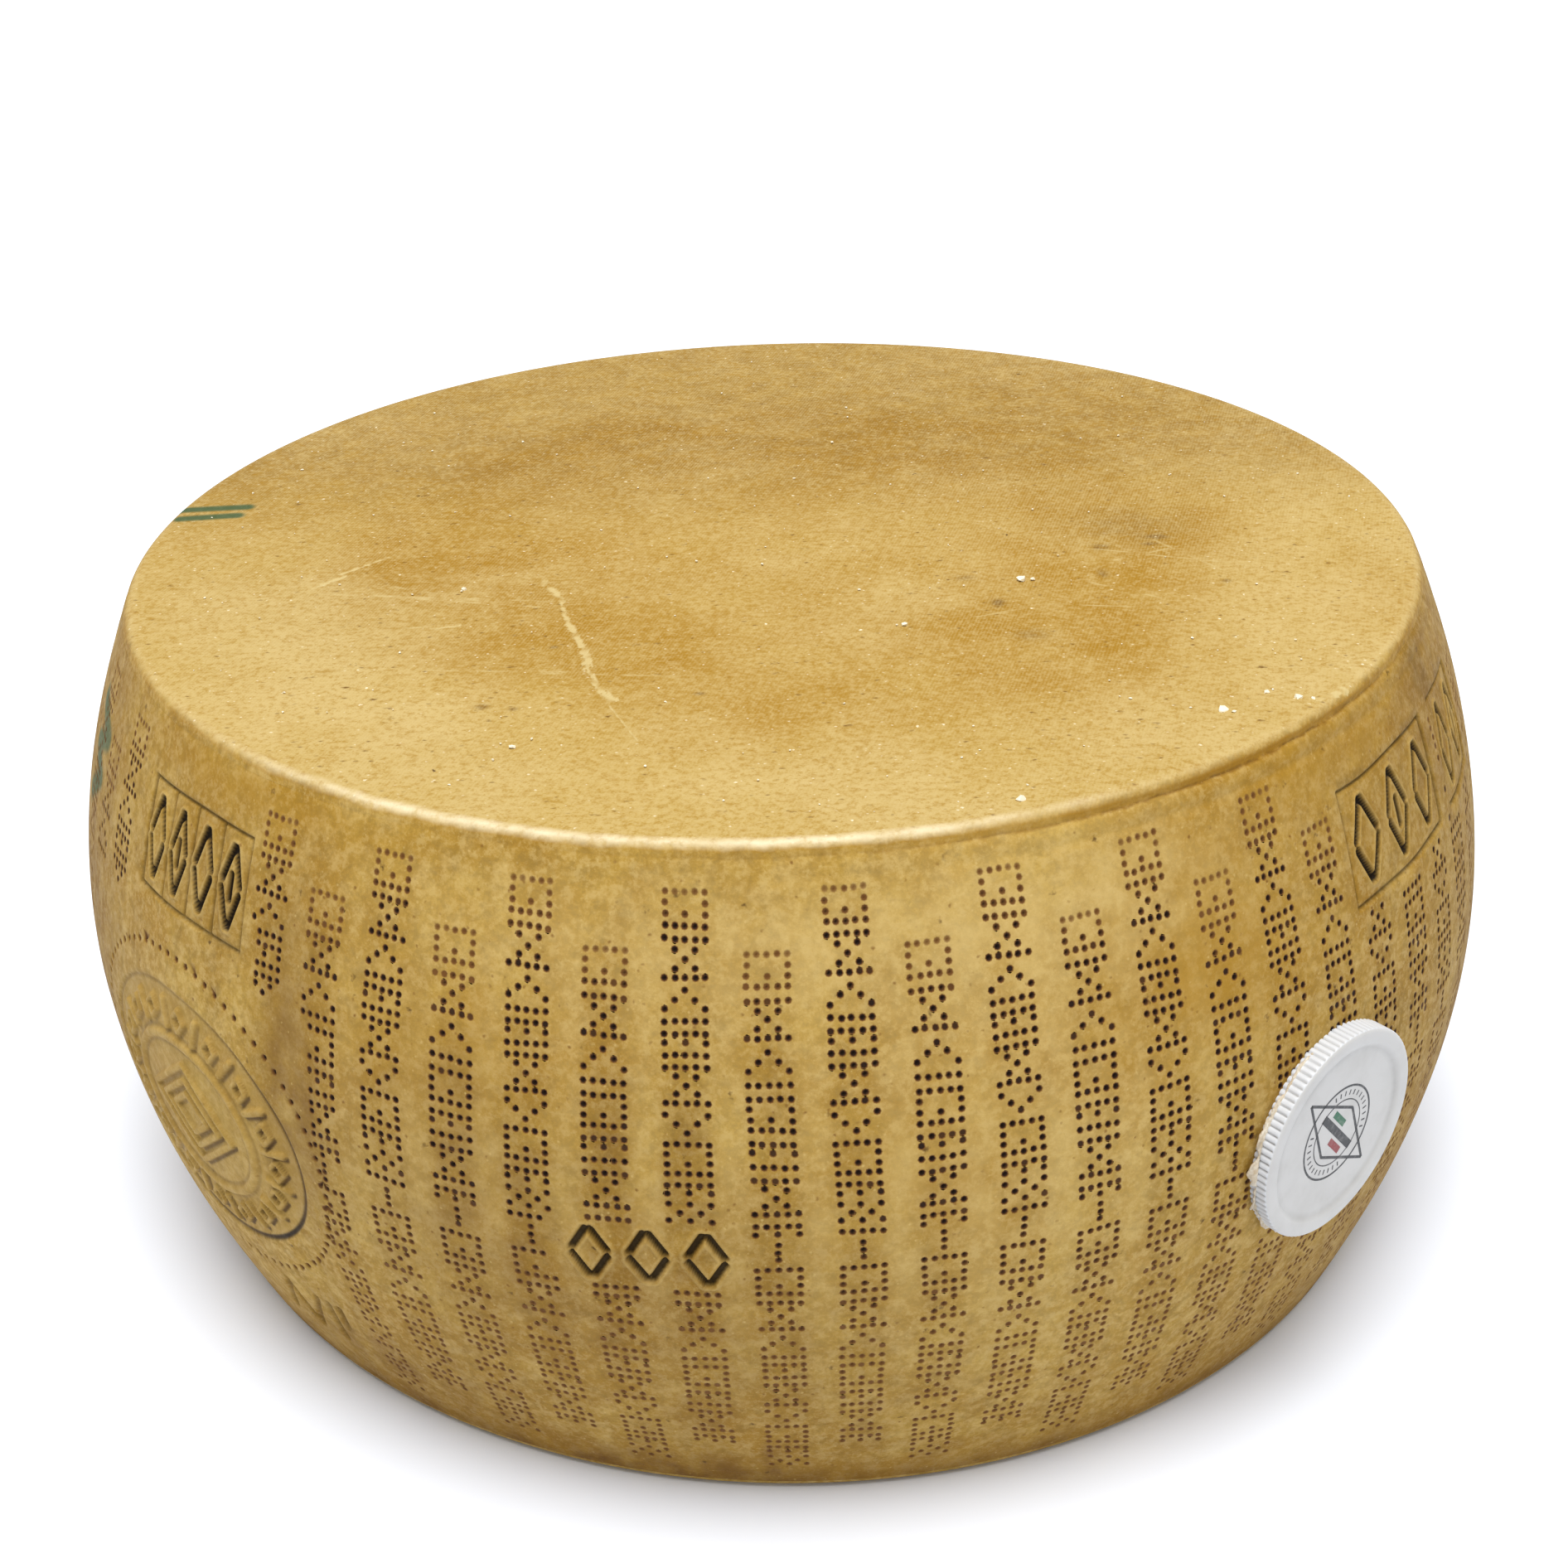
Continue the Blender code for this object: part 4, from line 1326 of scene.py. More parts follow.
def finish_piece(mesh, material, smooth=True):
    """Gives a mesh its material and puts it into the scene"""
    mesh.materials.append(material)
    if smooth:
        mesh.shade_smooth()
    mesh.calc_loop_triangles()
    print(mesh.name, len(mesh.loop_triangles), "triangles")
    return show(mesh)


def make_sector(sector):
    bm, found = flat_grid(sector)
    print("sector", sector + 1, "has", sink_pins(bm, found), "pins")
    for wanted, cuts in SIDE_CUTS:
        refine(bm, wanted, cuts)
    mesh = mesh_of(bm, f"rind_side_{sector + 1}")
    to_rind(mesh)
    return finish_piece(mesh, SIDE_MATERIAL)


for piece in [make_sector(sector) for sector in range(SECTORS)]:
    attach(piece, "root")
    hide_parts("cheese_wheel")

# %% [markdown]
# The flat faces are discs that turn down over the worn edge and meet the side sheets point for
# point. A straight line is spun once round, and the distance from the middle then says where a
# point goes: onto the flat, round the edge, or a little way down the side.

# %% Flat faces
TOP_EDGE = 0.0024
FOOT_EDGE = 0.0038
RING_STEP = 0.0040
FINE_STEP = 0.0008
FINE_WIDTH = 0.0140
MERGE_DISTANCE = 0.00001
TORN_DEPTH = 0.00025
# Each sliver of torn skin is (start, end, half width)
TORN_SKIN = (
    ((-0.071, -0.033), (-0.065, -0.048), 0.0010), ((-0.065, -0.048), (-0.061, -0.066), 0.0006),
    ((-0.061, -0.066), (-0.055, -0.084), 0.0011), ((-0.055, -0.084), (-0.053, -0.098), 0.0013),
    ((-0.053, -0.098), (-0.049, -0.110), 0.0007), ((-0.049, -0.110), (-0.045, -0.120), 0.0015),
    ((-0.045, -0.124), (-0.036, -0.146), 0.0002), ((-0.137, -0.022), (-0.124, -0.009), 0.0006),
    ((-0.143, -0.032), (-0.136, -0.024), 0.0010), ((-0.103, -0.067), (-0.094, -0.065), 0.0005),
    ((0.152, -0.133), (0.160, -0.128), 0.0014),
)
SCRATCHES = (
    ((-0.150, -0.036), (-0.084, -0.048)), ((-0.126, -0.040), (-0.061, -0.050)),
    ((-0.110, -0.044), (-0.058, -0.056)), ((-0.110, -0.066), (-0.094, -0.064)),
    ((-0.100, -0.097), (-0.056, -0.101)), ((-0.075, -0.100), (-0.026, -0.106)),
    ((0.102, -0.020), (0.146, -0.036)), ((0.118, -0.008), (0.140, -0.040)),
    ((0.150, -0.012), (0.158, -0.016)), ((0.096, -0.045), (0.118, -0.060)),
    ((-0.020, -0.088), (-0.015, -0.083)), ((0.108, -0.030), (0.126, -0.022)),
    ((-0.118, -0.034), (-0.092, -0.046)), ((0.084, -0.062), (0.108, -0.066)),
    ((0.062, -0.070), (0.078, -0.064)),
)
SCRATCH_REACH = 0.0050
MARKER_REACH = 0.006
# Stains and spots are rows of (strength, middle x, middle y, half width, half depth)
SPOT_STRENGTH = 1.6
BROWN_SPOTS = (
    (1.0, 0.105, -0.019, 0.0022, 0.0020), (0.9, 0.124, -0.012, 0.0030, 0.0016),
    (0.9, 0.121, -0.018, 0.0016, 0.0012), (0.9, 0.069, -0.060, 0.0020, 0.0026),
    (0.7, 0.103, -0.040, 0.0016, 0.0030), (0.9, 0.140, -0.049, 0.0014, 0.0012),
    (0.5, 0.077, -0.084, 0.0050, 0.0040), (0.9, -0.081, -0.122, 0.0018, 0.0014),
    (0.8, -0.072, -0.124, 0.0012, 0.0010), (0.9, -0.064, -0.083, 0.0012, 0.0010),
    (0.6, 0.060, -0.040, 0.0030, 0.0020), (0.7, -0.020, -0.118, 0.0016, 0.0010),
)
TOP_OCHRES = (
    (1.30, 0.116, -0.010, 0.032, 0.036), (1.10, 0.088, -0.085, 0.036, 0.038),
    (0.75, -0.108, -0.002, 0.032, 0.030), (0.95, -0.082, -0.036, 0.032, 0.026),
    (0.80, -0.048, -0.086, 0.036, 0.022), (0.45, 0.020, -0.138, 0.070, 0.024),
    (0.35, -0.185, 0.030, 0.030, 0.050), (0.35, 0.190, -0.060, 0.020, 0.040),
)
TOP_BROWNS = ((0.60, 0.116, -0.002, 0.020, 0.016), (0.12, -0.14, -0.02, 0.07, 0.07))
TOP_PALES = (
    (0.50, 0.155, -0.050, 0.034, 0.055), (0.70, -0.135, -0.080, 0.045, 0.050),
    (0.40, -0.020, -0.175, 0.080, 0.020), (0.40, 0.100, -0.140, 0.040, 0.024),
)
FOOT_BROWNS = ((0.3, 0.05, 0.03, 0.09, 0.07),)
FOOT_PALES = ((0.3, -0.06, -0.05, 0.08, 0.06),)
MARKER_LINES = (((-0.203, 0.0375), (-0.179, 0.0395)), ((-0.200, 0.0295), (-0.181, 0.0320)))


def disc_radii():
    """Distances from the middle to the rings: wide steps inside, fine ones at the edge"""
    start = FLAT_RADIUS - FINE_WIDTH
    coarse = list(np.arange(0, start, RING_STEP))
    fine = list(np.arange(start, FLAT_RADIUS + EDGE_WIDTH - FINE_STEP / 2, FINE_STEP))
    return coarse + fine + [FLAT_RADIUS + EDGE_WIDTH]


def spin_line(bm, points, steps, closed=False):
    """Spins a line of points, or a closed outline, once round the axis"""
    verts = [bm.verts.new(point) for point in points]
    following = verts[1:] + verts[:1] if closed else verts[1:]
    edges = [bm.edges.new(pair) for pair in zip(verts, following)]
    turn = {"cent": (0, 0, 0), "axis": (0, 0, 1), "angle": 2 * math.pi, "steps": steps}
    bmesh.ops.spin(bm, geom=verts + edges, use_merge=True, **turn)


def spun(points, steps, merge_distance):
    """A new bmesh with a line spun round, its pole closed and its faces turned outwards"""
    bm = bmesh.new()
    spin_line(bm, points, steps)
    bmesh.ops.remove_doubles(bm, verts=bm.verts, dist=merge_distance)
    bmesh.ops.recalc_face_normals(bm, faces=bm.faces)
    return bm


def spun_disc():
    start = math.radians(FIRST_COLUMN_TURN + FIRST_SECTOR_CELL * 360 / CELLS_AROUND)
    heading = Vector((math.sin(start), -math.cos(start), 0))
    return spun([heading * radius for radius in disc_radii()], CELLS_AROUND, MERGE_DISTANCE)


def near_scratch(x, y):
    torn = [(start, end) for start, end, _ in TORN_SKIN]
    dots = [((spot[1] - 0.001, spot[2]), (spot[1] + 0.001, spot[2])) for spot in BROWN_SPOTS]
    return stroke_distance(x, y, list(SCRATCHES) + torn + dots) < SCRATCH_REACH


def torn_skin(x, y):
    """Places where a sliver of the skin came off: ragged, pale, and sunk by a hair"""
    ragged = ripple(x, y, 41, 0.0035) + 0.6 * ripple(x, y, 42, 0.0015)
    mask = np.zeros_like(x)
    for start, end, width in TORN_SKIN:
        near = stroke_distance(x, y, [(start, end)])
        mask = np.maximum(mask, smooth_step((width * (1 + 1.3 * ragged) - near) / 0.0004 + 0.5))
    return mask * smooth_step(0.85 + 1.4 * ripple(x, y, 44, 0.008))


def scratched(x, y):
    broken = smooth_step(0.5 + 1.6 * ripple(x, y, 43, 0.012))
    return 0.55 * smooth_step(1.2 - stroke_distance(x, y, SCRATCHES) / 0.0006) * broken


def near_top_marker(x, y):
    return stroke_distance(x, y, MARKER_LINES) < MARKER_REACH


def over_edge(points, lift_flat, upper):
    """Bends the outer part of a flat disc over the edge and down, or up, the side"""
    radius = np.hypot(points[:, 0], points[:, 1])
    turn = np.arctan2(points[:, 0], -points[:, 1])
    edge = TOP_EDGE if upper else FOOT_EDGE
    level = HEIGHT if upper else 0.0
    down = np.maximum(radius - FLAT_RADIUS, 0.0)

    def side_at(distance):
        rise = SIDE_LENGTH - distance if upper else distance
        return on_side(turn, rise, side_lift(turn * WIDEST_RADIUS, rise))

    def flat_at(distance):
        x, y = distance * np.sin(turn), -distance * np.cos(turn)
        return settle(x, y, np.full_like(distance, level))

    flat = flat_at(np.minimum(radius, FLAT_RADIUS))
    placed = np.where((radius > FLAT_RADIUS)[:, None], side_at(down), flat)
    share = ((radius - FLAT_RADIUS + edge) / (2 * edge))[:, None]
    near = flat_at(np.full_like(radius, FLAT_RADIUS - edge))
    far = side_at(np.full_like(radius, edge))
    corner = flat_at(np.full_like(radius, FLAT_RADIUS))
    rounded = (1 - share) ** 2 * near + 2 * share * (1 - share) * corner + share**2 * far
    placed = np.where(((share > 0) & (share < 1)), rounded, placed)
    placed[:, 2] += lift_flat * (radius < FLAT_RADIUS - edge)
    return placed, radius


def top_stains_and_shade(x, y, radius):
    """A golden middle with an uneven edge, deeper at both sides, and painted shade towards the back"""
    uneven = 0.022 * ripple(x, y, 52, 0.07) + 0.008 * ripple(x, y, 53, 0.02)
    # Painted shade: the top is painted darker and more ochre towards the back.
    painted_back_shade = smooth_step((y + 0.01) / 0.10)
    ochre = 0.50 * smooth_step((0.158 - radius + uneven) / 0.045) + 0.42 * painted_back_shade
    ochre += patches(x, y, TOP_OCHRES)
    brown = 0.54 * painted_back_shade + patches(x, y, TOP_BROWNS) + SPOT_STRENGTH * patches(x, y, BROWN_SPOTS)
    return {"ochre": ochre, "brown": brown, "pale": patches(x, y, TOP_PALES)}


def foot_stains_and_shade(x, y, radius):
    # Darker towards the edge: brown rind with painted shade.
    brown = 0.55 * smooth_step(1 - (FLAT_RADIUS - radius) / 0.02) + patches(x, y, FOOT_BROWNS)
    return {"ochre": np.full_like(x, 0.4), "brown": brown, "pale": patches(x, y, FOOT_PALES)}


def top_masks(x, y, radius, torn):
    """What only the upper face shows: torn skin, the worn rim with its painted highlight, and the marker
    lines
    """
    turn, below = np.arctan2(x, -y), radius - FLAT_RADIUS
    marker = stroke_distance(x, y, MARKER_LINES)
    masks = {**top_stains_and_shade(x, y, radius), **rim_masks(turn, below)}
    masks["torn"] = np.maximum(0.85 * torn, scratched(x, y))
    masks["side_pale"] = side_stains_and_shade(turn * WIDEST_RADIUS, SIDE_LENGTH - below)["pale"]
    masks["marker"] = 0.85 * smooth_step(1.5 - marker / 0.0024)
    return masks


def foot_masks(x, y, radius):
    """The lower face has the plain skin; its rim lines lie out of reach"""
    nothing = np.zeros_like(x)
    masks = {**foot_stains_and_shade(x, y, radius), **rim_masks(np.arctan2(x, -y), nothing - 0.005)}
    masks.update(torn=nothing, side_pale=nothing, marker=nothing)
    return masks


def make_face(name, upper):
    bm = spun_disc()
    if upper:
        refine(bm, near_scratch, 5)
        refine(bm, near_top_marker, 4)
    else:
        bmesh.ops.reverse_faces(bm, faces=bm.faces)
    mesh = mesh_of(bm, name)
    points = read_points(mesh)
    x, y = points[:, 0], points[:, 1]
    fade = smooth_step((FLAT_RADIUS - np.hypot(x, y)) / 0.03)
    lift = fade * (0.00030 * (ripple(x, y, 8, 0.09) - 1) + 0.00008 * (ripple(x, y, 9, 0.02) - 1))
    torn = torn_skin(x, y) if upper else np.zeros_like(x)
    placed, radius = over_edge(points, (lift if upper else -lift) - TORN_DEPTH * torn, upper)
    write_points(mesh, placed)
    masks = top_masks(x, y, radius, torn) if upper else foot_masks(x, y, radius)
    masks["turned_down"] = smooth_step(0.4 + (radius - FLAT_RADIUS) / 0.0030)
    for key, values in masks.items():
        carry(mesh, key, values)
    return finish_piece(mesh, FACE_MATERIAL)


for name, upper in (("rind_top", True), ("rind_foot", False)):
    face = make_face(name, upper)
    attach(face, "root")
    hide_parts("cheese_wheel")

# %% [markdown]
# A white plastic cap is stuck on the right of the side. It was moulded in one piece: a ribbed skirt
# to grip, a raised ring and a lower field with a print. Half of its section is spun round, and the
# skirt's points are then pushed out and in for the ribs. The frame under it is its place on the rind.

# %% Cap
CAP_FRONT = 0.0030
CAP_RIBS = 96
RIB_DEPTH = 0.0006
STEPS_PER_RIB = 6
CAP_EDGE = 0.0009
CAP_RING_WIDTH = 0.0042
CAP_STEP = 0.0010
CAP_ROOT = -0.0060
CAP_MERGE_DISTANCE = 0.000005
SKIRT_RINGS = 8
FIELD_RADII = (0.0252, 0.022, 0.012, 0.0)
FRAME_STEP = 0.002
FRAME_RISE = 0.0005
STEP_SHADE_WIDTH = 0.0010
CAP_WHITE = (0.565, 0.550, 0.525, 1.0)
CAP_SHADE = (0.43, 0.415, 0.385, 1.0)
CAP_SKIRT_LIGHT = (0.640, 0.660, 0.690, 1.0)
CAP_PAINTED_SHADE = (0.250, 0.240, 0.220, 1.0)


def cap_frame():
    """The place of the cap: x around, y up, z off the rind"""
    def on_rind(turned, risen):
        return Vector(on_side(math.radians(CAP_TURN) + turned, CAP_RISE + risen, 0.0))

    across_cap = (on_rind(FRAME_STEP, 0) - on_rind(-FRAME_STEP, 0)).normalized()
    up = on_rind(0, FRAME_RISE) - on_rind(0, -FRAME_RISE)
    off = across_cap.cross(up).normalized()
    pose = Matrix((across_cap, off.cross(across_cap), off)).transposed().to_4x4()
    pose.translation = on_rind(0, 0)
    return pose


CAP_POSE = cap_frame()


def cap_section():
    """Half of the cap's section from the back of the skirt to the middle, as (radius, 0, height)"""
    heights = np.linspace(CAP_ROOT, CAP_FRONT - CAP_EDGE, SKIRT_RINGS)
    section = [(CAP_RADIUS, height) for height in heights]
    for angle in (22, 45, 68, 90):
        turn = math.radians(angle)
        radius = CAP_RADIUS - CAP_EDGE * 1.6 * (1 - math.cos(turn))
        section.append((radius, CAP_FRONT - CAP_EDGE * (1 - math.sin(turn))))
    inner = CAP_RADIUS - CAP_RING_WIDTH
    section.append((inner + 0.0002, CAP_FRONT))
    section.append((inner - CAP_STEP * 0.5, CAP_FRONT - CAP_STEP * 0.15))
    section.append((inner - CAP_STEP * 1.5, CAP_FRONT - CAP_STEP * 0.85))
    section += [(radius, CAP_FRONT - CAP_STEP) for radius in (inner - CAP_STEP * 2, *FIELD_RADII)]
    return [(radius, 0, height) for radius, height in section]


def ribbed(vert):
    """How far in a point of the skirt lies: rounded ribs with sharp valleys, fading at the edge"""
    angle = math.atan2(vert.co.y, vert.co.x)
    valley = 1 - abs(math.cos(angle * CAP_RIBS / 2))
    fade = min(1.0, max(0.0, (CAP_FRONT - CAP_EDGE * 0.4 - vert.co.z) / (CAP_EDGE * 0.6)))
    return RIB_DEPTH * valley**2 * fade


def make_plastic_material():
    made, tree, shader = new_material("cap_plastic", 0.38)
    position = object_place(tree)
    dust = blotch_mask(tree, position, 90.0, 0.45, 0.75)
    colour = lay_over(tree, CAP_WHITE, scaled(tree, dust, 0.35), CAP_SHADE)
    # Painted highlight: the ribbed skirt is painted whiter and cooler than the face.
    colour = lay_over(tree, colour, scaled(tree, painted(tree, "skirt"), 0.9), CAP_SKIRT_LIGHT)
    # Painted shade in the rib valleys and at the foot of the step, uneven with the dust.
    painted_shade = times(tree, painted(tree, "valley"), remap(tree, dust, 0.0, 1.0, 0.40, 0.70))
    colour = lay_over(tree, colour, painted_shade, CAP_PAINTED_SHADE)
    tree.links.new(colour, shader.inputs["Base Color"])
    tree.links.new(remap(tree, dust, 0.0, 1.0, 0.34, 0.50), shader.inputs["Roughness"])
    grain = use_group(tree, GRAIN, {"Vector": position, "Scale": 1500.0})
    grow_skin(tree, shader, 0.4, [scaled(tree, grain["Height"], 0.00005)])
    return made


def make_cap():
    bm = spun(cap_section(), CAP_RIBS * STEPS_PER_RIB, CAP_MERGE_DISTANCE)
    skirt, valley = bm.verts.layers.float.new("skirt"), bm.verts.layers.float.new("valley")
    foot_of_step = CAP_RADIUS - CAP_RING_WIDTH - CAP_STEP * 1.7
    for vert in bm.verts:
        radius = vert.co.xy.length
        # Painted shade at the foot of the step; on the skirt it goes into the rib valleys.
        vert[valley] = 0.55 * max(0.0, 1 - abs(radius - foot_of_step) / STEP_SHADE_WIDTH)
        if radius > CAP_RADIUS - 0.0002:
            vert[skirt] = 1.0
            vert[valley] = ribbed(vert) / RIB_DEPTH
            vert.co.xy *= 1 - ribbed(vert) / radius
    bmesh.ops.transform(bm, matrix=CAP_POSE, verts=bm.verts)
    return finish_piece(mesh_of(bm, "cap"), make_plastic_material())


cap = make_cap()
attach(cap, "root")
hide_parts("side_cap")

# %% [markdown]
# The cap's print is thin ink: two fine rings with ticks between them, and over them a lozenge with
# three short bars in it, one of them green and one red. An image could be wrapped on, but slips of
# ink stay sharp at any distance. Each is a twentieth of a millimetre thick and lies on the field.

# %% Print on the cap
# Each ring is (radius, width), and each bar is (start x, end x, y, width)
INK_RINGS = ((0.0150, 0.00065), (0.0106, 0.00035))
INK_BARS = {
    "dark": (-0.0110, 0.0110, 0.0, 0.0026),
    "green": (-0.0070, 0.0010, 0.0034, 0.0022),
    "red": (-0.0010, 0.0070, -0.0034, 0.0022),
}
INKS = {
    "dark": (0.030, 0.030, 0.032, 1.0),
    "green": (0.020, 0.130, 0.060, 1.0),
    "red": (0.260, 0.030, 0.030, 1.0),
}
INK_THICKNESS = 0.00005
INK_MERGE_DISTANCE = 0.0000005
INK_STEPS = 96
TICKS = 36
TICK_LENGTH = 0.0016
TICK_WIDTH = 0.00045
TICK_RADIUS = 0.0128
TICK_LIMIT = 0.42
PRINT_TURN = math.radians(-48)
PRINT_WIDTH = 0.0440
PRINT_HEIGHT = 0.0170
PRINT_STROKE = 0.0009
INK_LEVEL = CAP_FRONT - CAP_STEP


def ink_ring(bm, radius, width):
    near, far, top = radius - width / 2, radius + width / 2, INK_LEVEL + INK_THICKNESS
    section = [(near, 0, INK_LEVEL), (near, 0, top), (far, 0, top), (far, 0, INK_LEVEL)]
    spin_line(bm, section, INK_STEPS, closed=True)


def ink_bar(bm, start, end, width):
    start, end = Vector(start), Vector(end)
    middle = (start + end) / 2
    along = end - start
    pose = Matrix.Translation((middle.x, middle.y, INK_LEVEL + INK_THICKNESS / 2))
    pose = pose @ Matrix.Rotation(math.atan2(along.y, along.x), 4, "Z")
    pose = pose @ Matrix.Diagonal((along.length, width, INK_THICKNESS, 1))
    bmesh.ops.create_cube(bm, size=1.0, matrix=pose)


def dark_marks():
    """The ticks and the lozenge, as (start, end, width)"""
    marks = []
    for tick in range(TICKS):
        angle = math.pi * 2 * tick / TICKS
        if abs(math.sin(angle)) > TICK_LIMIT:
            heading = Vector((math.cos(angle), math.sin(angle)))
            middle, half = heading * TICK_RADIUS, heading * TICK_LENGTH / 2
            marks.append((middle - half, middle + half, TICK_WIDTH))
    outline = lozenge(0.0, 0.0, PRINT_WIDTH, PRINT_HEIGHT, 0.0)
    return marks + [(start, end, PRINT_STROKE) for start, end in outline]


def make_ink_material(name):
    made, tree, shader = new_material(f"ink_{name}", 0.5)
    thin = blotch_mask(tree, object_place(tree), 500.0, 0.5, 0.8)
    colour = lay_over(tree, INKS[name], scaled(tree, thin, 0.4), CAP_SHADE)
    tree.links.new(colour, shader.inputs["Base Color"])
    return made


def make_print(name):
    bm = bmesh.new()
    left, right, height, width = INK_BARS[name]
    marks = dark_marks() if name == "dark" else []
    for start, end, stroke in marks + [((left, height), (right, height), width)]:
        ink_bar(bm, start, end, stroke)
    if name == "dark":
        for radius, stroke in INK_RINGS:
            ink_ring(bm, radius, stroke)
    bmesh.ops.remove_doubles(bm, verts=bm.verts, dist=INK_MERGE_DISTANCE)
    bmesh.ops.recalc_face_normals(bm, faces=bm.faces)
    bmesh.ops.transform(bm, matrix=CAP_POSE @ Matrix.Rotation(PRINT_TURN, 4, "Z"), verts=bm.verts)
    return finish_piece(mesh_of(bm, f"cap_print_{name}"), make_ink_material(name), smooth=False)


for piece in [make_print(name) for name in INKS]:
    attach(piece, "root")
    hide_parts("side_cap")

# %% [markdown]
# A piece of paper was caught under the cap and torn away round it, so a ragged fringe shows at its
# left. It is a thin disc with an uneven edge, wrapped on the rind. Its fringe is frayed into small
# tongues that lift off the rind by different amounts, and the sheet is given a thickness at the end.

# %% Torn paper
PAPER_LOW = 0.0003
PAPER_HIGH = 0.0008
PAPER_RADIUS = 0.0315
PAPER_FRINGE = 0.0040
PAPER_TONGUES = 150
PAPER_INSETS = (0.03, 0.03, 0.05, 0.10, 0.20)
FRINGE_START = 0.89
PAPER_BEIGE = (0.60, 0.50, 0.36, 1.0)
PAPER_FIBRE = (0.78, 0.72, 0.60, 1.0)
PAPER_GLUE = (0.40, 0.28, 0.15, 1.0)


def make_paper_material():
    made, tree, shader = new_material("torn_paper", 0.9)
    position = object_place(tree)
    fibres = blotch_mask(tree, position, 700.0, 0.45, 0.6)
    colour = lay_over(tree, PAPER_BEIGE, scaled(tree, fibres, 0.7), PAPER_FIBRE)
    glue = blotch_mask(tree, position, 160.0, 0.52, 0.70)
    colour = lay_over(tree, colour, scaled(tree, glue, 0.7), PAPER_GLUE)
    tree.links.new(colour, shader.inputs["Base Color"])
    grow_skin(tree, shader, 0.7, [scaled(tree, fibres, 0.00012)])
    return made


def fray(bm):
    """Moves the points of a disc outwards and up, most at its left, where the fringe shows"""
    draw = random.Random(7)
    tongues = [PAPER_FRINGE * draw.uniform(0.15, 1.1) for _ in range(PAPER_TONGUES)]
    waves = [draw.uniform(0, 2 * math.pi) for _ in range(4)]
    for vert in bm.verts:
        angle = math.atan2(vert.co.y, vert.co.x)
        far = vert.co.xy.length
        fringe = smooth_step(np.array((far - FRINGE_START) / (1 - FRINGE_START)))
        left = max(0.0, -math.cos(angle)) ** 1.5
        slow = sum(math.sin(angle * (5 + 4 * index) + wave) for index, wave in enumerate(waves)) / 4
        tongue = tongues[int(round(angle / (2 * math.pi) * PAPER_TONGUES)) % PAPER_TONGUES]
        torn = tongue * 0.7 + PAPER_FRINGE * (0.35 + 0.3 * slow)
        reach = PAPER_RADIUS * min(1.0, far / FRINGE_START) + left * fringe * torn
        height = PAPER_LOW + left * fringe * (0.0006 + 0.0007 * draw.random())
        vert.co = Vector((reach * math.cos(angle), reach * math.sin(angle), height))


def make_paper():
    bm = bmesh.new()
    bmesh.ops.create_circle(bm, cap_ends=True, cap_tris=False, segments=PAPER_TONGUES, radius=1.0)
    face = bm.faces[:]
    for thickness in PAPER_INSETS:
        bmesh.ops.inset_region(bm, faces=face, thickness=thickness, use_even_offset=True)
    fray(bm)
    bm.normal_update()
    bmesh.ops.solidify(bm, geom=bm.faces[:], thickness=PAPER_LOW - PAPER_HIGH)
    bmesh.ops.recalc_face_normals(bm, faces=bm.faces)
    mesh = mesh_of(bm, "caught_paper")
    flat = read_points(mesh)
    turn = math.radians(CAP_TURN) + flat[:, 0] / WIDEST_RADIUS
    write_points(mesh, on_side(turn, CAP_RISE + flat[:, 1], flat[:, 2]))
    return finish_piece(mesh, make_paper_material())


paper = make_paper()
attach(paper, "root")
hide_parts("cap_paper")

# %% [markdown]
# Cutting and rubbing left crumbs on the top: a few pale ones as large as rice and many fine ones.
# Each is a small ball of twenty faces, squashed and roughened by a seeded draw, half sunk in the
# skin. The large ones lie where the photograph shows them.

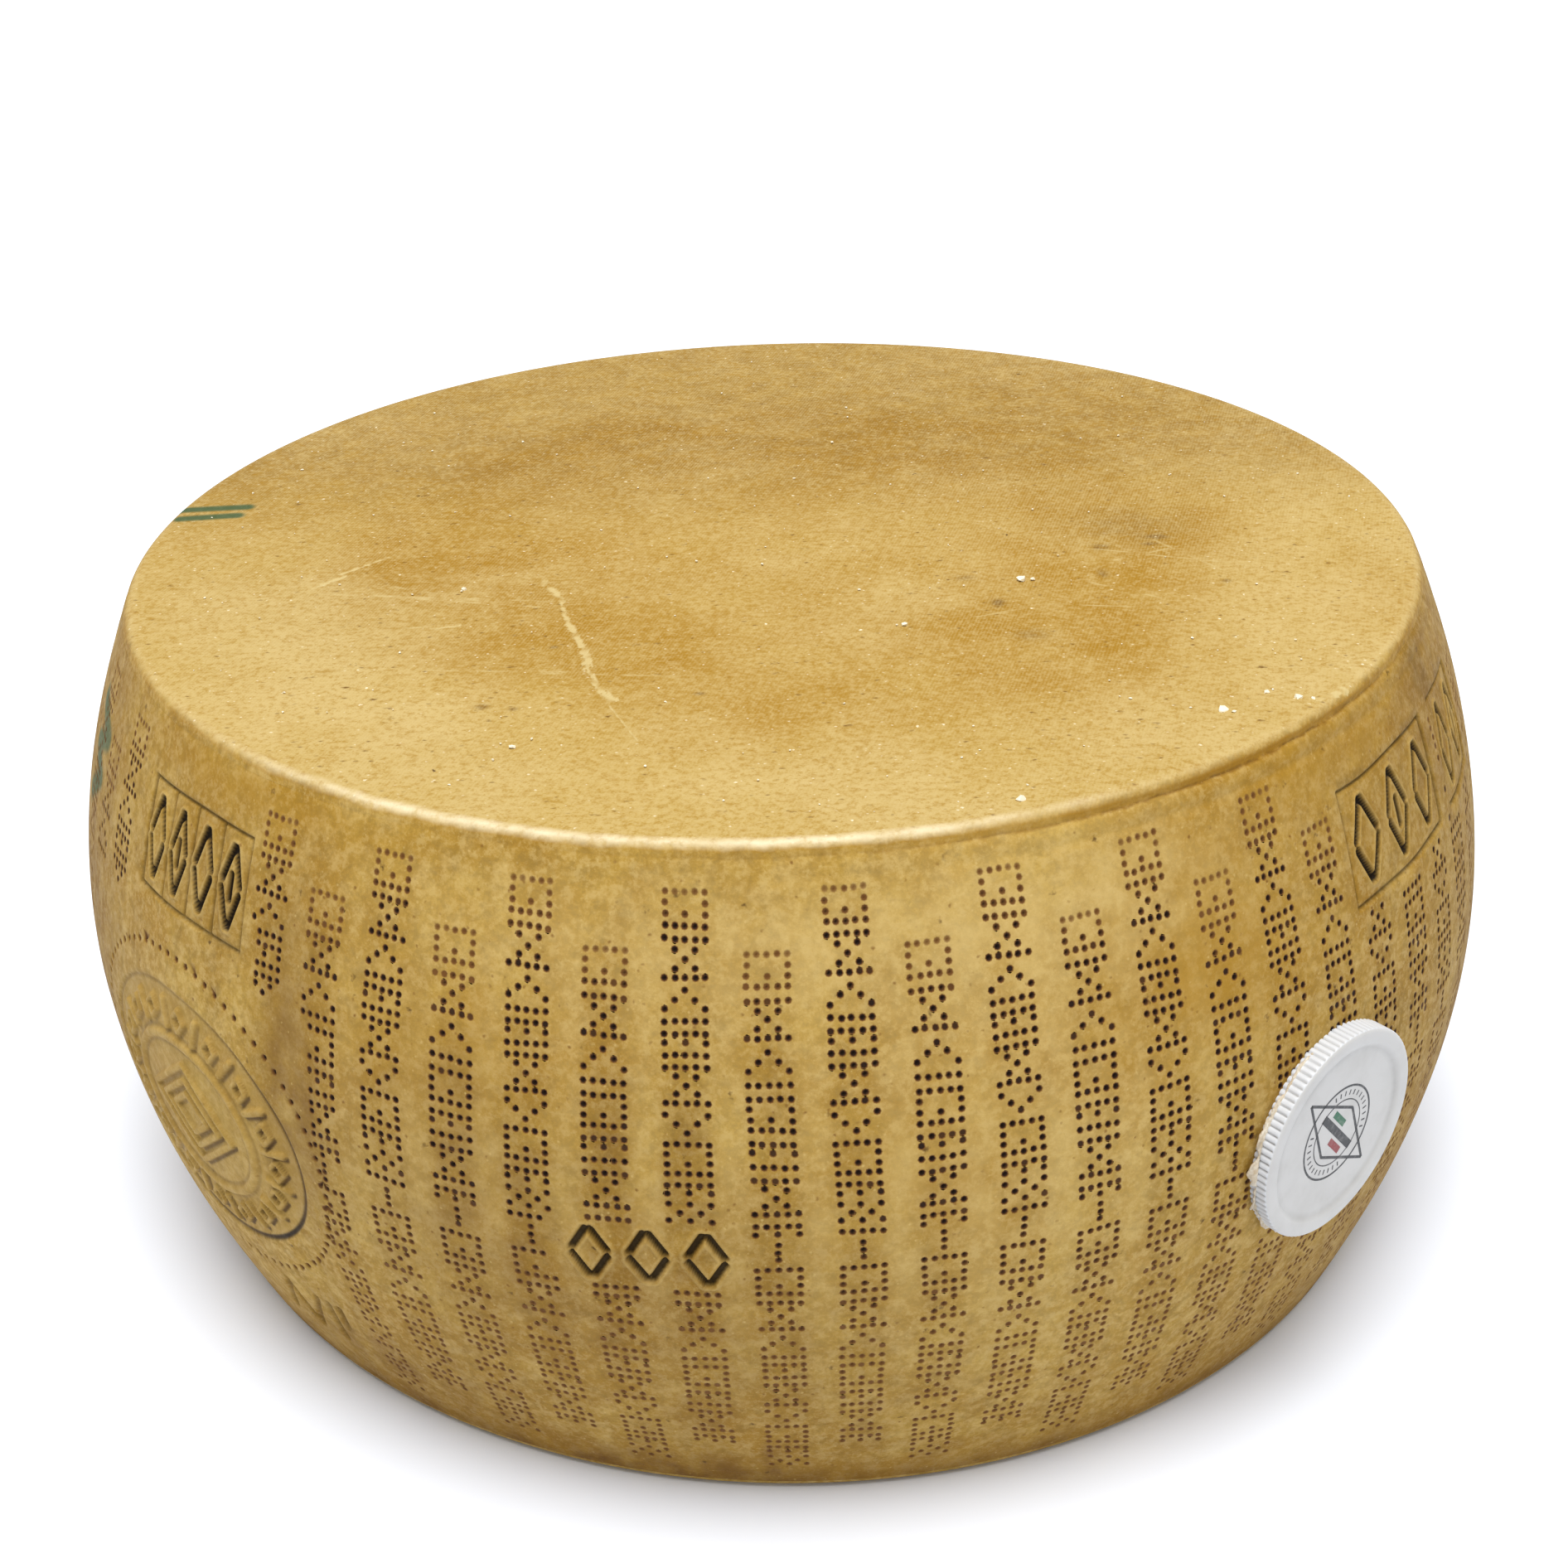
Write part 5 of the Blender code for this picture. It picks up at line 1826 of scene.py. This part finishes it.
# %% Crumbs
# Each large crumb is (x, y, size)
BIG_CRUMBS = (
    (0.124, -0.138, 0.0016), (0.0645, -0.1865, 0.0015), (0.146, -0.132, 0.0013),
    (0.0775, -0.0435, 0.0014), (-0.070, -0.148, 0.0008), (0.138, -0.128, 0.0009),
    (-0.096, -0.038, 0.0009), (0.040, -0.075, 0.0009),
)
SPLINTER_SHARE = 0.45
SMALL_CRUMBS = 150
SMALL_CRUMB_SIZES = (0.00018, 0.00045)
CRUMB_CREAM = (0.88, 0.82, 0.64, 1.0)
CRUMB_SHADE = (0.70, 0.58, 0.34, 1.0)


def one_crumb(bm, draw, x, y, size):
    place = Vector(settle(np.array(x), np.array(y), np.array(HEIGHT)))
    pose = Matrix.Translation(place) @ Matrix.Rotation(draw.uniform(0, 6.3), 4, "Z")
    pose = pose @ Matrix.Diagonal((size * draw.uniform(0.8, 1.5), size, size * 0.6, 1))
    made = bmesh.ops.create_icosphere(bm, subdivisions=1, radius=1.0, matrix=pose)["verts"]
    for vert in made:
        vert.co += Vector([draw.uniform(-0.25, 0.25) * size for _ in range(3)])


def make_crumb_material():
    made, tree, shader = new_material("crumb", 0.7)
    grain = use_group(tree, GRAIN, {"Vector": object_place(tree), "Scale": 900.0})
    colour = lay_over(tree, CRUMB_CREAM, scaled(tree, grain["Dark"], 0.5), CRUMB_SHADE)
    tree.links.new(colour, shader.inputs["Base Color"])
    return made


def make_crumbs():
    draw = random.Random(21)
    bm = bmesh.new()
    for x, y, size in BIG_CRUMBS:
        one_crumb(bm, draw, x, y, size)
        near_x, near_y = x + draw.uniform(-0.004, 0.004), y + draw.uniform(-0.003, 0.003)
        one_crumb(bm, draw, near_x, near_y, size * SPLINTER_SHARE)
    for _ in range(SMALL_CRUMBS):
        angle, far = draw.uniform(0, 2 * math.pi), FLAT_RADIUS * 0.95 * math.sqrt(draw.random())
        x, y = far * math.cos(angle), far * math.sin(angle)
        one_crumb(bm, draw, x, y, draw.uniform(*SMALL_CRUMB_SIZES))
    return finish_piece(mesh_of(bm, "crumbs"), make_crumb_material(), smooth=False)


crumbs = make_crumbs()
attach(crumbs, "root")
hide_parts("cheese_wheel")
